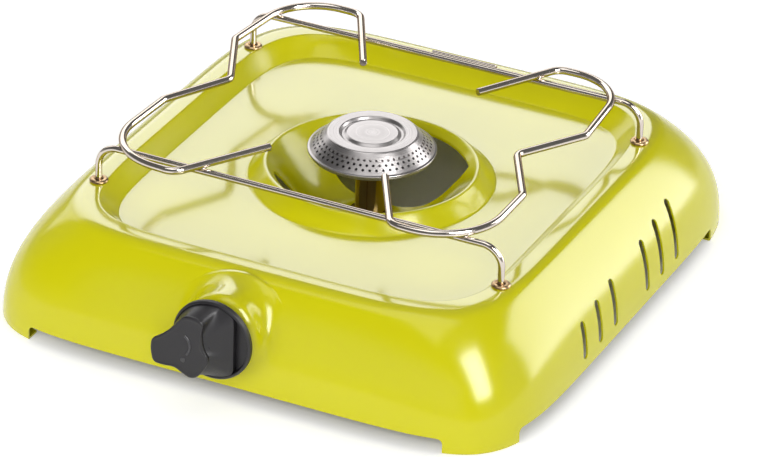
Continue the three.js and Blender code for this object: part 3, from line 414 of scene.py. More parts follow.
def tube_look():
    look = Look("polished_tube", (0.50, 0.36, 0.16), 0.12, 1.0)
    streaks = look.noise(300.0, 3.0, (1.0, 1.0, 0.08))
    look.tint(streaks, (0.52, 0.38, 0.18), (0.40, 0.27, 0.10))
    look.gloss(streaks, 0.08, 0.16)
    look.relief(streaks, 0.05)
    return look.owner


def brass_look():
    look = Look("brass", (0.55, 0.38, 0.11), 0.28, 1.0)
    stain = look.noise(220.0, 4.0)
    look.tint(stain, (0.60, 0.42, 0.14), (0.42, 0.28, 0.08))
    look.gloss(stain, 0.2, 0.4)
    look.relief(look.noise(900.0, 2.0), 0.12)
    return look.owner


def copper_look():
    look = Look("copper_pipe", (0.55, 0.24, 0.13), 0.3, 1.0)
    stain = look.noise(120.0, 4.0)
    look.tint(stain, (0.62, 0.29, 0.16), (0.34, 0.14, 0.08))
    look.gloss(stain, 0.24, 0.42)
    look.relief(look.noise(600.0, 2.0), 0.1)
    return look.owner


def plastic_look():
    look = Look("knob_plastic", (0.034, 0.031, 0.038), 0.42, 0.0)
    look.shader["IOR"].default_value = 1.5
    grain = look.noise(1600.0, 2.0)
    look.tint(look.noise(70.0, 3.0), (0.011, 0.010, 0.0115), (0.016, 0.0145, 0.017))
    look.gloss(grain, 0.38, 0.52)
    look.relief(grain, 0.22)
    return look.owner


# A plastic a little lighter than the knob's, for its raised marks.
def lighter_mark_look():
    look = Look("mark_plastic", (0.045, 0.044, 0.047), 0.35, 0.0)
    grain = look.noise(1200.0, 2.0)
    look.tint(grain, (0.035, 0.034, 0.037), (0.055, 0.053, 0.057))
    look.gloss(grain, 0.3, 0.42)
    look.relief(grain, 0.1)
    return look.owner


def rubber_look():
    look = Look("rubber_seal", (0.012, 0.012, 0.012), 0.7, 0.0)
    grain = look.noise(900.0, 3.0)
    look.tint(grain, (0.010, 0.010, 0.010), (0.018, 0.018, 0.017))
    look.gloss(grain, 0.6, 0.8)
    look.relief(grain, 0.2)
    return look.owner


LOOKS = {
    "enamel": enamel_look(),
    "chrome_wire": chrome_look(),
    "burner_steel": brushed_look(),
    "plated_steel": plated_look(),
    "brass": brass_look(),
    "copper_pipe": copper_look(),
    "knob_plastic": plastic_look(),
    "rubber_seal": rubber_look(),
}


# Mesh helpers: a form is a pair of its points and its faces
def joined(forms):
    points, faces, start = [], [], 0
    for form_points, form_faces in forms:
        points.append(np.asarray(form_points, float))
        faces.extend([tuple(i + start for i in face) for face in form_faces])
        start += len(form_points)
    return np.concatenate(points), faces


def loft(rings, torus=False):
    """A skin through rings of equally many points, capped by fans or joined end to end."""
    count = len(rings[0])
    points = np.concatenate(rings)
    last = len(rings) if torus else len(rings) - 1
    faces = []
    for k in range(last):
        low, high = k * count, ((k + 1) % len(rings)) * count
        for i in range(count):
            j = (i + 1) % count
            faces.append((low + i, low + j, high + j, high + i))
    if not torus:
        for ring, flip in ((0, True), (len(rings) - 1, False)):
            tip = len(points)
            points = np.vstack([points, np.mean(rings[ring], axis=0)])
            for i in range(count):
                a, b = ring * count + i, ring * count + (i + 1) % count
                faces.append((b, a, tip) if flip else (a, b, tip))
    return points, faces


def turned(profile, sides=FINE):
    """A form turned round +Z from (radius, height) points; the profile runs from the bottom
    outwards and up, and starts and ends on the axis or closes on itself."""
    turn = np.arange(sides) / sides * 2 * math.pi
    cos, sin = np.cos(turn), np.sin(turn)
    points, rows = [], []
    loop = math.dist(profile[0], profile[-1]) < NEAR
    chain = profile[:-1] if loop else profile
    for radius, z in chain:
        if radius < NEAR:
            rows.append([len(points)])
            points.append((0.0, 0.0, z))
        else:
            rows.append(list(range(len(points), len(points) + sides)))
            points.extend(zip(radius * cos, radius * sin, [z] * sides))
    faces = []
    pairs = list(zip(rows, rows[1:])) + ([(rows[-1], rows[0])] if loop else [])
    for low, high in pairs:
        for i in range(sides):
            j = (i + 1) % sides
            if len(low) == 1 and len(high) > 1:
                faces.append((low[0], high[j], high[i]))
            elif len(high) == 1 and len(low) > 1:
                faces.append((low[i], low[j], high[0]))
            elif len(low) > 1:
                faces.append((low[i], low[j], high[j], high[i]))
    return np.array(points), faces


def curved(start, corner, end, steps):
    """Points of a bend from start to end that leans towards a corner."""
    return [start * (1 - s) ** 2 + corner * 2 * s * (1 - s) + end * s ** 2
            for s in np.linspace(0, 1, steps + 1)]


def splined(a, b, c, d, s):
    """The point at share s of the way from b to c, on a smooth curve through four points."""
    return 0.5 * (2 * b + (c - a) * s + (2 * a - 5 * b + 4 * c - d) * s ** 2
                  + (3 * b - 3 * c + d - a) * s ** 3)


def turning(first, second):
    """The angle between two directions."""
    share = float(first @ second / np.linalg.norm(first) / np.linalg.norm(second))
    return math.acos(max(-1.0, min(1.0, share)))


def filleted(corners, closed=False):
    """A profile through corners of (across, up, round); a corner with no round stays sharp."""
    ring = [np.array(corner[:2], float) for corner in corners]
    out = []
    for k, corner in enumerate(ring):
        bend = corners[k][2]
        if not closed and k in (0, len(ring) - 1) or bend <= 0:
            out.append(tuple(corner))
            continue
        before, after = ring[k - 1], ring[(k + 1) % len(ring)]
        inward, outward = before - corner, after - corner
        reach_in, reach_out = np.linalg.norm(inward), np.linalg.norm(outward)
        turn = math.pi - turning(inward, outward)
        setback = min(bend * math.tan(turn / 2), reach_in * MOST_SETBACK, reach_out * MOST_SETBACK)
        start, end = corner + inward / reach_in * setback, corner + outward / reach_out * setback
        out += [tuple(point) for point in curved(start, corner, end, FILLET_STEPS)]
    if closed:
        out.append(out[0])
    return out


def lathe(corners, sides=FINE, closed=False):
    return turned(filleted(corners, closed), sides)


def cylinder(radius, low, high, sides=FINE):
    return turned([(0, low), (radius, low), (radius, high), (0, high)], sides)


def prism(outline, low, high):
    """An upright prism on an outline that runs anticlockwise."""
    rings = [np.array([(x, y, z) for x, y in outline]) for z in (low, high)]
    count = len(outline)
    points = np.concatenate(rings)
    faces = [(i, (i + 1) % count, count + (i + 1) % count, count + i) for i in range(count)]
    faces.append(tuple(reversed(range(count))))
    faces.append(tuple(range(count, 2 * count)))
    return points, faces


def bent(corners, bends):
    """Points along straight runs joined by round bends."""
    corners = [np.array(c, float) for c in corners]
    out = [corners[0]]
    for before, corner, after, radius in zip(corners, corners[1:], corners[2:], bends):
        inward = (corner - before) / np.linalg.norm(corner - before)
        outward = (after - corner) / np.linalg.norm(after - corner)
        turn = turning(inward, outward)
        axis = np.cross(inward, outward)
        axis /= np.linalg.norm(axis)
        start = corner - inward * radius * math.tan(turn / 2)
        spoke = -np.cross(axis, inward) * radius
        centre = start - spoke
        steps = max(2, math.ceil(turn / BEND_STEP))
        for k in range(steps + 1):
            spin = Matrix.Rotation(turn * k / steps, 3, Vector(axis))
            out.append(centre + np.array(spin @ Vector(spoke)))
    out.append(corners[-1])
    return out


def swept(path, radius, sides=WIRE_SIDES, chamfer=0.0, bore=None):
    """A round wire along a path, with slightly broken ends; with a bore it is a pipe."""
    path = stepped([np.array(p, float) for p in path])
    if chamfer:
        first = (path[1] - path[0]) / np.linalg.norm(path[1] - path[0])
        last = (path[-2] - path[-1]) / np.linalg.norm(path[-2] - path[-1])
        path = [path[0], path[0] + first * chamfer, *path[1:-1], path[-1] + last * chamfer, path[-1]]
    count = len(path)
    tangents = []
    for k in range(count):
        before, after = path[max(k - 1, 0)], path[min(k + 1, count - 1)]
        a = path[k] - before if k else after - path[k]
        b = after - path[k] if k + 1 < count else path[k] - before
        t = a / np.linalg.norm(a) + b / np.linalg.norm(b)
        tangents.append(t / np.linalg.norm(t))
    across = np.cross(tangents[0], (0.0, 0.0, 1.0))
    if np.linalg.norm(across) < 0.1:
        across = np.cross(tangents[0], (0.0, 1.0, 0.0))
    turn = np.arange(sides) / sides * 2 * math.pi
    rings, inner = [], []
    for k in range(count):
        across = across - tangents[k] * (across @ tangents[k])
        across /= np.linalg.norm(across)
        up = np.cross(tangents[k], across)
        wide = radius - chamfer if chamfer and k in (0, count - 1) else radius
        circle = np.outer(np.cos(turn), across) + np.outer(np.sin(turn), up)
        rings.append(path[k] + circle * wide)
        if bore:
            inner.append(path[k] + circle * bore)
    if bore:
        return loft(rings + inner[::-1], torus=True)
    return loft(rings)


def stepped(path):
    """Adds points along long straight runs."""
    out = [path[0]]
    for a, b in zip(path, path[1:]):
        count = math.ceil(np.linalg.norm(b - a) / WIRE_STEP)
        out += [a + (b - a) * k / count for k in range(1, count + 1)]
    return out


def moved(form, matrix):
    points, faces = form
    rows = np.array(matrix)
    return points @ rows[:3, :3].T + rows[:3, 3], faces


def facing_front(form):
    """Takes +Z of a form to -Y, at the middle of the tap's boss."""
    place = Matrix.Translation((TAP_X, -TAP_FACE, TAP_Z)) @ Matrix.Rotation(math.pi / 2, 4, "X")
    return moved(form, place)


def facing_back(form):
    """Takes +Z of a form to +Y, at the middle of the inlet's boss."""
    place = Matrix.Translation((INLET_X, INLET_FACE, INLET_Z)) @ Matrix.Rotation(-math.pi / 2, 4, "X")
    return moved(form, place)


def as_object(name, form):
    points, faces = form
    mesh = bpy.data.meshes.new(name)
    mesh.from_pydata([tuple(p) for p in points], [], faces)
    mesh.validate()
    mesh.update()
    made = bpy.data.objects.new(name, mesh)
    bpy.context.scene.collection.objects.link(made)
    return made


def boolean(target, form, operation="DIFFERENCE"):
    cutter = as_object(target.name + "_cutter", form)
    step = target.modifiers.new("cut", "BOOLEAN")
    step.operation = operation
    step.solver = "MANIFOLD"
    step.object = cutter
    bpy.context.view_layer.update()
    shown = target.evaluated_get(bpy.context.evaluated_depsgraph_get())
    mesh = bpy.data.meshes.new_from_object(shown)
    target.modifiers.clear()
    old, target.data = target.data, mesh
    bpy.data.meshes.remove(old)
    bpy.data.meshes.remove(cutter.data)


def finished(made, slot, body, replaced=(), look=None, sharp=SHARP):
    mesh = made.data
    mesh.materials.clear()
    mesh.materials.append(look or LOOKS[slot])
    for polygon in mesh.polygons:
        polygon.use_smooth = True
    mesh.set_sharp_from_angle(angle=sharp)
    if replaced:
        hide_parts(*replaced)
    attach(made, body)


# Base sheet
def ring(half_x, half_y, power, z):
    """Points of a squared-off round at one height, closer together at its corners."""
    even = np.arange(ROUND) / ROUND * 2 * math.pi
    turn = even + CROWDING / 4 * np.sin(4 * even)
    x, y = np.cos(turn), np.sin(turn)
    radius = (np.abs(x / half_x) ** power + np.abs(y / half_y) ** power) ** (-1 / power)
    return np.stack([radius * x, radius * y, np.full(ROUND, z)], axis=1)


def skirt_level(t):
    """Half widths, squareness and height of the skirt, t from 0 at the hem to 90 degrees."""
    w = math.cos(t) ** SKIRT_SPREAD
    return (CREST_X + SHOULDER_OUT + SKIRT_RUN_X * w, CREST_Y + SHOULDER_OUT + SKIRT_RUN_Y * w,
            CREST_POWER + (HEM_POWER - CREST_POWER) * w, SHOULDER_Z * math.sin(t) ** SKIRT_RISE)


def crest_level(inset, z):
    share = min(1.0, max(0.0, inset) / (CREST_X * POWER_RUN_SHARE))
    return CREST_X - inset, CREST_Y - inset, CREST_POWER + (TRAY_POWER - CREST_POWER) * share, z


def circle(radius, z):
    return ring(radius, radius, 2.0, z)


def arc(inset, z, radius, start, end, steps, hollow=False):
    """Points of an arc in a section, by the direction that the sheet rises in."""
    side = -1 if hollow else 1
    return [(inset - side * radius * math.sin(angle), z + side * radius * math.cos(angle))
            for angle in np.linspace(start, end, steps + 1)]


def between(start, end):
    """Two points that part a straight run into about three."""
    return [tuple(np.array(start) * (1 - s) + np.array(end) * s) for s in THIRD_SHARES]


def wall_sections():
    """Inset from the legs' line and height, over the shoulder and the land, down to the tray."""
    shoulder = arc(-LAND_OUT, CREST_Z - SHOULDER_ROUND, SHOULDER_ROUND, SHOULDER_SLOPE, 0.0,
                   SHOULDER_STEPS)
    over = arc(LAND_IN, CREST_Z - CREST_ROUND, CREST_ROUND, 0.0, -WALL_SLOPE, CREST_STEPS)
    foot_z = TRAY_Z + TRAY_ROUND * (1 - math.cos(WALL_SLOPE))
    foot = over[-1][0] + (over[-1][1] - foot_z) / math.tan(WALL_SLOPE)
    middle = foot + TRAY_ROUND * math.sin(WALL_SLOPE)
    under = arc(middle, TRAY_Z + TRAY_ROUND, TRAY_ROUND, -WALL_SLOPE, 0.0, TRAY_STEPS, hollow=True)
    return shoulder + over + between(over[-1], under[0]) + under


def bowl_curve():
    """Radius and height over the well's crest, and down to the bowl's flat in a smooth curve."""
    stops = [(BOWL_FLAT + (WELL_CREST - BOWL_FLAT) * r, BOWL_Z + BOWL_DEPTH * h)
             for r, h in zip(BOWL_REACH_SHARES, BOWL_RISE_SHARES)][::-1]
    crest = arc(0.0, WELL_Z - WELL_CREST_ROUND, WELL_CREST_ROUND, WELL_SLOPE, -WELL_SLOPE,
                WELL_CREST_STEPS)
    crest = [(WELL_CREST - inset, z) for inset, z in crest]
    level = [(BOWL_FLAT - run, BOWL_Z) for run in BOWL_LEVEL_RUNS]
    guide = [np.array(p) for p in (*crest[-2:], *stops, *level)]
    curve = []
    for k in range(1, len(guide) - 2):
        for s in np.arange(1, BOWL_STEPS + 1) / BOWL_STEPS:
            curve.append(tuple(splined(*guide[k - 1:k + 3], s)))
    return crest, curve


def shell_rings():
    """Rings of the sheet's upper side, from the hem's lip over the rim and into the bowl."""
    half_x, half_y, power, _ = skirt_level(0.0)
    low = HEM_ROUND * HEM_ROUND_SHARE
    hem = ((LIP, 0.0), (LIP / 2, 0.0), (HEM_ROUND, 0.0), (low, low))
    rings = [ring(half_x - inset, half_y - inset, power, z) for inset, z in hem]
    rings += [ring(*skirt_level(t)) for t in np.linspace(SKIRT_START, SKIRT_TOP, SKIRT_STEPS)]
    rings += [ring(*crest_level(inset, z)) for inset, z in wall_sections()]
    crest, curve = bowl_curve()
    foot = crest[0][0] + (crest[0][1] - TRAY_Z) / math.tan(WELL_SLOPE)
    rim_radius = foot + WELL_FOOT_ROUND * math.tan(WELL_SLOPE / 2)
    edge, rim = rings[-1], circle(rim_radius, TRAY_Z)
    rings += [edge * (1 - s) + rim * s for s in np.linspace(0, 1, TRAY_RINGS + 1)[1:]]
    rise = [(rim_radius - WELL_FOOT_ROUND * math.sin(t), TRAY_Z + WELL_FOOT_ROUND * (1 - math.cos(t)))
            for t in np.linspace(0, WELL_SLOPE, WELL_FOOT_STEPS + 1)[1:]]
    section = rise + between(rise[-1], crest[0]) + crest + curve + [(TUBE_HOLE, BOWL_Z)]
    return rings + [circle(radius, z) for radius, z in section]


def sheet_inside(rings):
    """Each ring moved square to the surface by the sheet's thickness."""
    out = []
    for k, points in enumerate(rings):
        before, after = rings[max(k - 1, 0)], rings[min(k + 1, len(rings) - 1)]
        along = after - before
        around = np.roll(points, -1, axis=0) - np.roll(points, 1, axis=0)
        normal = np.cross(around, along)
        normal /= np.linalg.norm(normal, axis=1, keepdims=True)
        out.append(points - normal * SHEET)
    return out


def window_outline(side):
    corner = math.acos(WINDOW_CORNER / WINDOW_RADIUS)
    outline = [(WINDOW_RADIUS * math.cos(turn), side * WINDOW_RADIUS * math.sin(turn))
               for turn in np.linspace(corner, math.pi - corner, WINDOW_STEPS + 1)]
    for share in np.linspace(-1, 1, STRAP_STEPS + 1)[1:-1]:
        y = STRAP_HALF + STRAP_FLARE * abs(share) ** STRAP_POWER
        outline.append((WINDOW_CORNER * share, side * y))
    if side < 0:
        outline.reverse()
    return soften(outline, WINDOW_ROUND)


def soften(outline, radius):
    """Rounds the sharp corners of a closed outline."""
    points = [np.array(p, float) for p in outline]
    out = []
    for k, corner in enumerate(points):
        inward, outward = corner - points[k - 1], points[(k + 1) % len(points)] - corner
        if turning(inward, outward) < SOFTEN_LEAST:
            out.append(tuple(corner))
            continue
        run_in, run_out = np.linalg.norm(inward), np.linalg.norm(outward)
        reach = min(radius, run_in * MOST_SOFTENED, run_out * MOST_SOFTENED)
        start, end = corner - inward / run_in * reach, corner + outward / run_out * reach
        out += [tuple(point) for point in curved(start, corner, end, SOFTEN_STEPS)]
    return out


def vent_outline(bottom, top_z):
    top = bottom + (top_z - VENT_LOW) * VENT_LEAN
    outline = []
    for y, z, start in ((top, top_z, 0.0), (bottom, VENT_LOW, math.pi)):
        for turn in np.linspace(start, start + math.pi, VENT_END_STEPS + 1):
            outline.append((y + VENT_WIDTH / 2 * math.cos(turn), z + VENT_WIDTH / 2 * math.sin(turn)))
    return outline


def vent_cutters():
    cutters = []
    for i in range(VENTS):
        group, place = divmod(i, VENT_GROUP)
        bottom = (2 * group - 1) * VENT_GROUP_Y + (place - 1) * VENT_PITCH
        outline = vent_outline(bottom, VENT_SHORT + VENT_STEP * i)
        for low, high in ((CREST_X, HEM_X + CUT_OVER), (-HEM_X - CUT_OVER, -CREST_X)):
            cutters.append(moved(prism(outline, low, high), SIDEWAYS))
    return cutters


def notch_cutter(turn):
    """The gap between two feet, on the right side of the base turned by quarter turns."""
    front, back = HEM_Y - FOOT_FRONT_Y, HEM_Y - FOOT_BACK_Y
    across = HEM_X - FOOT_WIDTH_X
    start, end, face = [(-front, back, HEM_X), (-across, across, HEM_Y),
                        (-back, front, HEM_X), (-across, across, HEM_Y)][turn]
    corners = [(start, -SHEET, 0), (end, -SHEET, 0), (end, HEM_HEIGHT, NOTCH_ROUND),
               (start, HEM_HEIGHT, NOTCH_ROUND)]
    outline = filleted(corners, closed=True)[:-1]
    cutter = moved(prism(outline, face - NOTCH_DEPTH, face + CUT_OVER), SIDEWAYS)
    return moved(cutter, Matrix.Rotation(turn * math.pi / 2, 4, "Z"))


def leg_places():
    low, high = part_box("front_wire")
    x, y = high.x - (high.y - low.y) / 2, (low.y + high.y) / 2
    return [(-x, y), (x, y), (x, -y), (-x, -y)]


def shell_cutters():
    cutters = [prism(window_outline(side), BOWL_Z - CUT_OVER, WELL_Z + CUT_OVER) for side in (-1, 1)]
    cutters += vent_cutters()
    cutters += [notch_cutter(turn) for turn in range(4)]
    socket_low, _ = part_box("leg_socket_front_left")
    hole = cylinder(SOCKET_HOLE, socket_low.z - SHEET, CREST_Z + CUT_OVER, SMALL)
    cutters += [moved(hole, Matrix.Translation((x, y, 0))) for x, y in leg_places()]
    cutters.append(facing_front(cylinder(TAP_HOLE, -TAP_HOLE_DEPTH, CUT_OVER)))
    cutters.append(facing_back(cylinder(INLET_HOLE, -INLET_HOLE_DEPTH, CUT_OVER)))
    return cutters


def base_shell():
    outer = shell_rings()
    inner = [points for points, start in zip(sheet_inside(outer), outer) if start[0][2] > INSIDE_LOWEST]
    half_x, half_y, power, _ = skirt_level(0.0)
    edge = [ring(half_x - SHEET - inset, half_y - SHEET - inset, power, z) for inset, z in HEM_INSIDE]
    shell = as_object("base_shell", loft(outer + inner[::-1] + edge, torus=True))
    boolean(shell, joined(shell_cutters()))
    finished(shell, "enamel", "stove", ("body_shell", "drip_tray", "burner_well"))


# Bosses: the sheet bulges out to a round boss, in one smooth surface
def skirt_reach(x, z):
    """How far the skirt below the shoulder stands out from the middle, over points x, z."""
    lowest = 0.05 * MM
    angle = np.arcsin((np.clip(z, lowest, SHOULDER_Z) / SHOULDER_Z) ** (1 / SKIRT_RISE))
    w = np.cos(angle) ** SKIRT_SPREAD
    half_x = CREST_X + SHOULDER_OUT + SKIRT_RUN_X * w
    half_y = CREST_Y + SHOULDER_OUT + SKIRT_RUN_Y * w
    power = CREST_POWER + (HEM_POWER - CREST_POWER) * w
    return half_y * (1 - np.abs(x / half_x) ** power) ** (1 / power)


def skirt_depth(x, y, z):
    """Distance from the skirt, the shoulder and the land, outside above zero."""
    tiny = 0.1 * MM
    slope_x = (skirt_reach(x + tiny, z) - skirt_reach(x - tiny, z)) / (2 * tiny)
    slope_z = (skirt_reach(x, z + tiny) - skirt_reach(x, z - tiny)) / (2 * tiny)
    skirt = (y - skirt_reach(x, z)) / np.sqrt(1 + slope_x ** 2 + slope_z ** 2)
    line = CREST_Y * (1 - np.abs(x / CREST_X) ** CREST_POWER) ** (1 / CREST_POWER)
    out, up = y - line - LAND_OUT, z - CREST_Z + SHOULDER_ROUND
    bend = np.hypot(out, up) - SHOULDER_ROUND
    slope = out * math.sin(SHOULDER_SLOPE) + up * math.cos(SHOULDER_SLOPE) - SHOULDER_ROUND
    high = np.where(out < up * math.tan(SHOULDER_SLOPE), bend, slope)
    high = np.where(out < 0, up - SHOULDER_ROUND, high)
    return np.where(z > SHOULDER_Z - 2 * tiny, high, skirt)


def boss_depth(points, boss):
    """Distance from the smooth union of the skirt and the boss, roughly, outside above zero."""
    x, y, z = points[..., 0], points[..., 1] * boss["side"], points[..., 2]
    edge, blend = boss["edge"], boss["blend"]
    skirt = skirt_depth(x, y, z)
    across = np.hypot(x - boss["x"], z - boss["z"]) - (boss["radius"] - edge)
    depth = y - (boss["face"] - edge)
    raised = np.hypot(np.maximum(across, 0), np.maximum(depth, 0)) - edge
    raised = np.minimum(np.maximum(across, depth), 0) + raised
    h = np.maximum(blend - np.abs(skirt - raised), 0) / blend
    return np.minimum(skirt, raised) - h * h * blend / 4


def ray_reach(heart, rays, boss, offset):
    """How far each ray runs to the boss's surface moved out by an offset, found by halving."""
    low, high = np.zeros(len(rays)), np.full(len(rays), LONGEST_RAY)
    for _ in range(HALVINGS):
        middle = (low + high) / 2
        inside = boss_depth(heart + rays * middle[:, None], boss) < offset
        low, high = np.where(inside, middle, low), np.where(inside, high, middle)
    return (low + high) / 2


def boss_patch(boss):
    """Rays from inside find the union's surface, outer and inner, and join them round both rims."""
    side, back = boss["side"], boss["back"]
    heart = np.array([boss["x"], side * back, boss["z"]])
    turn = np.arange(PATCH_COUNT) / PATCH_COUNT * 2 * math.pi * side
    least = math.atan2(boss["hole"], boss["face"] - back)
    room = (boss["z"] - boss["lowest"]) / np.maximum(-np.sin(turn), 1e-3)
    widest = np.minimum(boss["widest"], np.arctan2(room, HEM_Y - 3 * MM - back))
    layers = []
    for offset in (0.0, -SHEET):
        rings = []
        for k, share in enumerate(np.linspace(0, 1, PATCH_ROWS)):
            lean = least + (widest - least) * share
            rays = np.stack([np.sin(lean) * np.cos(turn), side * np.cos(lean),
                             np.sin(lean) * np.sin(turn)], axis=1)
            reach = ray_reach(heart, rays, boss, offset)
            if offset == 0.0:
                sink = max(0, k + 1 + SINK_ROWS - PATCH_ROWS) / SINK_ROWS
                reach = reach + PATCH_PROUD - PATCH_SINK * sink
            rings.append(heart + rays * reach[:, None])
        layers.append(rings)
    return loft(layers[0] + layers[1][::-1], torus=True)


def bosses():
    finished(as_object("tap_boss", boss_patch(TAP_BOSS)), "enamel", "stove")
    finished(as_object("inlet_boss", boss_patch(INLET_BOSS)), "enamel", "stove")


# Pan support
def wire(name, path, radius, chamfer):
    made = as_object(name + "_round", swept(path, radius, chamfer=chamfer))
    finished(made, "chrome_wire", "pan_support", (name,))


def wires():
    low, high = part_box("front_wire")
    radius = (high.y - low.y) / 2
    leg_x, leg_y = leg_places()[2]
    foot_z, rail_z = low.z, high.z - radius
    for name, y in (("front_wire", -leg_y), ("back_wire", leg_y)):
        corners = [(-leg_x, y, foot_z), (-leg_x, y, rail_z), (leg_x, y, rail_z), (leg_x, y, foot_z)]
        wire(name, bent(corners, [RAIL_BEND, RAIL_BEND]), radius, RAIL_CHAMFER)
    low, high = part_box("right_loop")
    loop_radius = (high.z - low.z) / 2
    loop_z = (high.z + low.z) / 2 - WELD_GAP / 2
    beads = []
    for name, corners in (("left_loop", LEFT_LOOP), ("right_loop", RIGHT_LOOP)):
        path = bent([(x, y, loop_z) for x, y in corners], LOOP_BENDS)
        wire(name, path, loop_radius, LOOP_CHAMFER)
        beads += crossings(path, -leg_y) + crossings(path, leg_y)
    low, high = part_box("rear_bar")
    middle = (low + high) / 2
    path = [(x, middle.y - WELD_GAP / 2, middle.z) for x in (low.x, middle.x, high.x)]
    wire("rear_bar", path, (high.z - low.z) / 2, RAIL_CHAMFER)
    welds(beads, (rail_z + radius + loop_z - loop_radius) / 2)


def crossings(path, y):
    """Places where a path passes over a line across the stove."""
    found = []
    for a, b in zip(path, path[1:]):
        if (a[1] - y) * (b[1] - y) < 0:
            found.append((a[0] + (b[0] - a[0]) * (y - a[1]) / (b[1] - a[1]), y))
    return found


def welds(places, z):
    """Flat beads where a loop lies on a wire."""
    bead = lathe([
        (0, -BEAD_HALF, 0), (BEAD_SHOULDER, -BEAD_STEP, 0.4 * MM), (BEAD_RADIUS, 0, 0.6 * MM),
        (BEAD_SHOULDER, BEAD_STEP, 0.4 * MM), (0, BEAD_HALF, 0),
    ], TINY)
    forms = [moved(bead, Matrix.Translation((x, y, z))) for x, y in places]
    finished(as_object("weld_beads", joined(forms)), "chrome_wire", "pan_support")


def sockets():
    low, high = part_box("leg_socket_front_left")
    top, flange = high.z, (high.x - low.x) / 2
    seat, bottom = top - SOCKET_FLANGE, low.z + 1 * MM
    form = lathe([
        (0, low.z, 0), (SOCKET_WALL, low.z, 0.6 * MM), (SOCKET_WALL, seat, 0.3 * MM),
        (flange - 0.1 * MM, seat - 0.2 * MM, 0.5 * MM), (flange, (seat + top) / 2, 0.8 * MM),
        (flange - 0.9 * MM, top, 0.8 * MM), (SOCKET_BORE + 0.5 * MM, top, 0.5 * MM),
        (SOCKET_BORE, top - 0.8 * MM, 0.6 * MM), (SOCKET_BORE, bottom, 0), (0, bottom, 0),
    ])
    ferrule = ferrule_look()
    for name, (x, y) in zip(("front_left", "front_right", "back_right", "back_left"), leg_places()):
        made = as_object("socket_" + name, moved(form, Matrix.Translation((x, y, 0))))
        finished(made, "chrome_wire", "stove", ("leg_socket_" + name,), look=ferrule)


# Burner
def ports(flange, base, top):
    """Rows of holes through the cap's sloping side, as forms to cut away."""
    run, drop = flange - 1.2 * MM - CAP_SIDE_TOP, top - base - 1.5 * MM
    upright = Matrix.Rotation(math.pi / 2 - math.atan2(run, drop), 4, "Y")
    port = cylinder(PORT_RADIUS, -2 * MM, 1.5 * MM, PORT_SIDES)
    cutters = []
    for row, share in enumerate(PORT_ROW_SHARES):
        place = Matrix.Translation((CAP_SIDE_TOP + run * share, 0, top - drop * share)) @ upright
        for i in range(PORTS):
            turn = (i + row * 0.5) / PORTS * 2 * math.pi
            cutters.append(moved(port, Matrix.Rotation(turn, 4, "Z") @ place))
    return joined(cutters)


def burner_cap():
    low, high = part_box("burner_cap")
    flange, base, top = (high.x - low.x) / 2, low.z, high.z
    under, groove_z = top - CAP_THICKNESS, top - GROOVE_DEPTH
    cap = as_object("cap_pressed", lathe([
        (0, under, 0), (CAP_SIDE_TOP - 1.6 * MM, under, 0.8 * MM),
        (flange - 1.9 * MM, base + 1.0 * MM, 0.3 * MM), (flange - 1.6 * MM, base, 0.2 * MM),
        (flange, base, 0.5 * MM), (flange, base + 1.15 * MM, 0.5 * MM),
        (flange - 1.2 * MM, base + 1.5 * MM, 0.6 * MM), (CAP_SIDE_TOP, top, 1.5 * MM),
        (GROOVE_OUT, top, 1.0 * MM), (GROOVE_OUT - GROOVE_WALL, groove_z, 0.6 * MM),
        (GROOVE_IN + 1.5 * MM, groove_z, 0.6 * MM), (GROOVE_IN, top - CAP_DISH, 1.0 * MM),
        (0, top - CAP_DISH, 0),
    ], TURNED))
    boolean(cap, ports(flange, base, top))
    finished(cap, "burner_steel", "stove", ("burner_cap",))


def burner_cup():
    low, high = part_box("burner_cup")
    rim, top, bottom = (high.x - low.x) / 2, high.z, low.z
    cup = as_object("cup_pressed", lathe([
        (TUBE_BORE, bottom, 0), (CUP_FLAT, bottom, 2.5 * MM), (rim - 1 * MM, top - 1.2 * MM, 0.5 * MM),
        (rim, top - 0.9 * MM, 0.4 * MM), (rim, top, 0.3 * MM), (rim - 2 * MM, top, 0.3 * MM),
        (rim - 2.4 * MM, top - 1 * MM, 0.5 * MM), (CUP_FLAT, bottom + CUP_SHEET, 2.0 * MM),
        (TUBE_BORE, bottom + CUP_SHEET, 0),
    ], TURNED, closed=True))
    finished(cup, "burner_steel", "stove", ("burner_cup",))


def mixing_tube():
    low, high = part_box("mixing_tube")
    collar, top = (high.x - low.x) / 2, high.z
    collar_z = BOWL_Z + 0.3 * MM
    tube = as_object("mixing_tube_drawn", lathe([
        (TUBE_BORE, low.z, 0.2 * MM), (TUBE_OUTER, low.z, 0.3 * MM), (TUBE_OUTER, collar_z, 0),
        (collar, collar_z, 0.3 * MM), (collar, collar_z + 1.6 * MM, 0.5 * MM),
        (TUBE_OUTER, collar_z + 2.0 * MM, 0.6 * MM), (TUBE_OUTER, top - 2 * MM, 1.0 * MM),
        (collar, top - 0.2 * MM, 0.2 * MM), (collar, top, 0), (TUBE_BORE, top, 0.2 * MM),
    ], MIDDLE, closed=True))
    hole = cylinder(AIR_HOLE, 4 * MM, 10 * MM, TINY)
    outward = Matrix.Translation((0, 0, AIR_HOLE_Z)) @ Matrix.Rotation(math.pi / 2, 4, "Y")
    turns = [(i + 0.5) / AIR_HOLES * 2 * math.pi for i in range(AIR_HOLES)]
    holes = [moved(hole, Matrix.Rotation(turn, 4, "Z") @ outward) for turn in turns]
    boolean(tube, joined(holes))
    finished(tube, "plated_steel", "stove", ("mixing_tube",), look=tube_look())


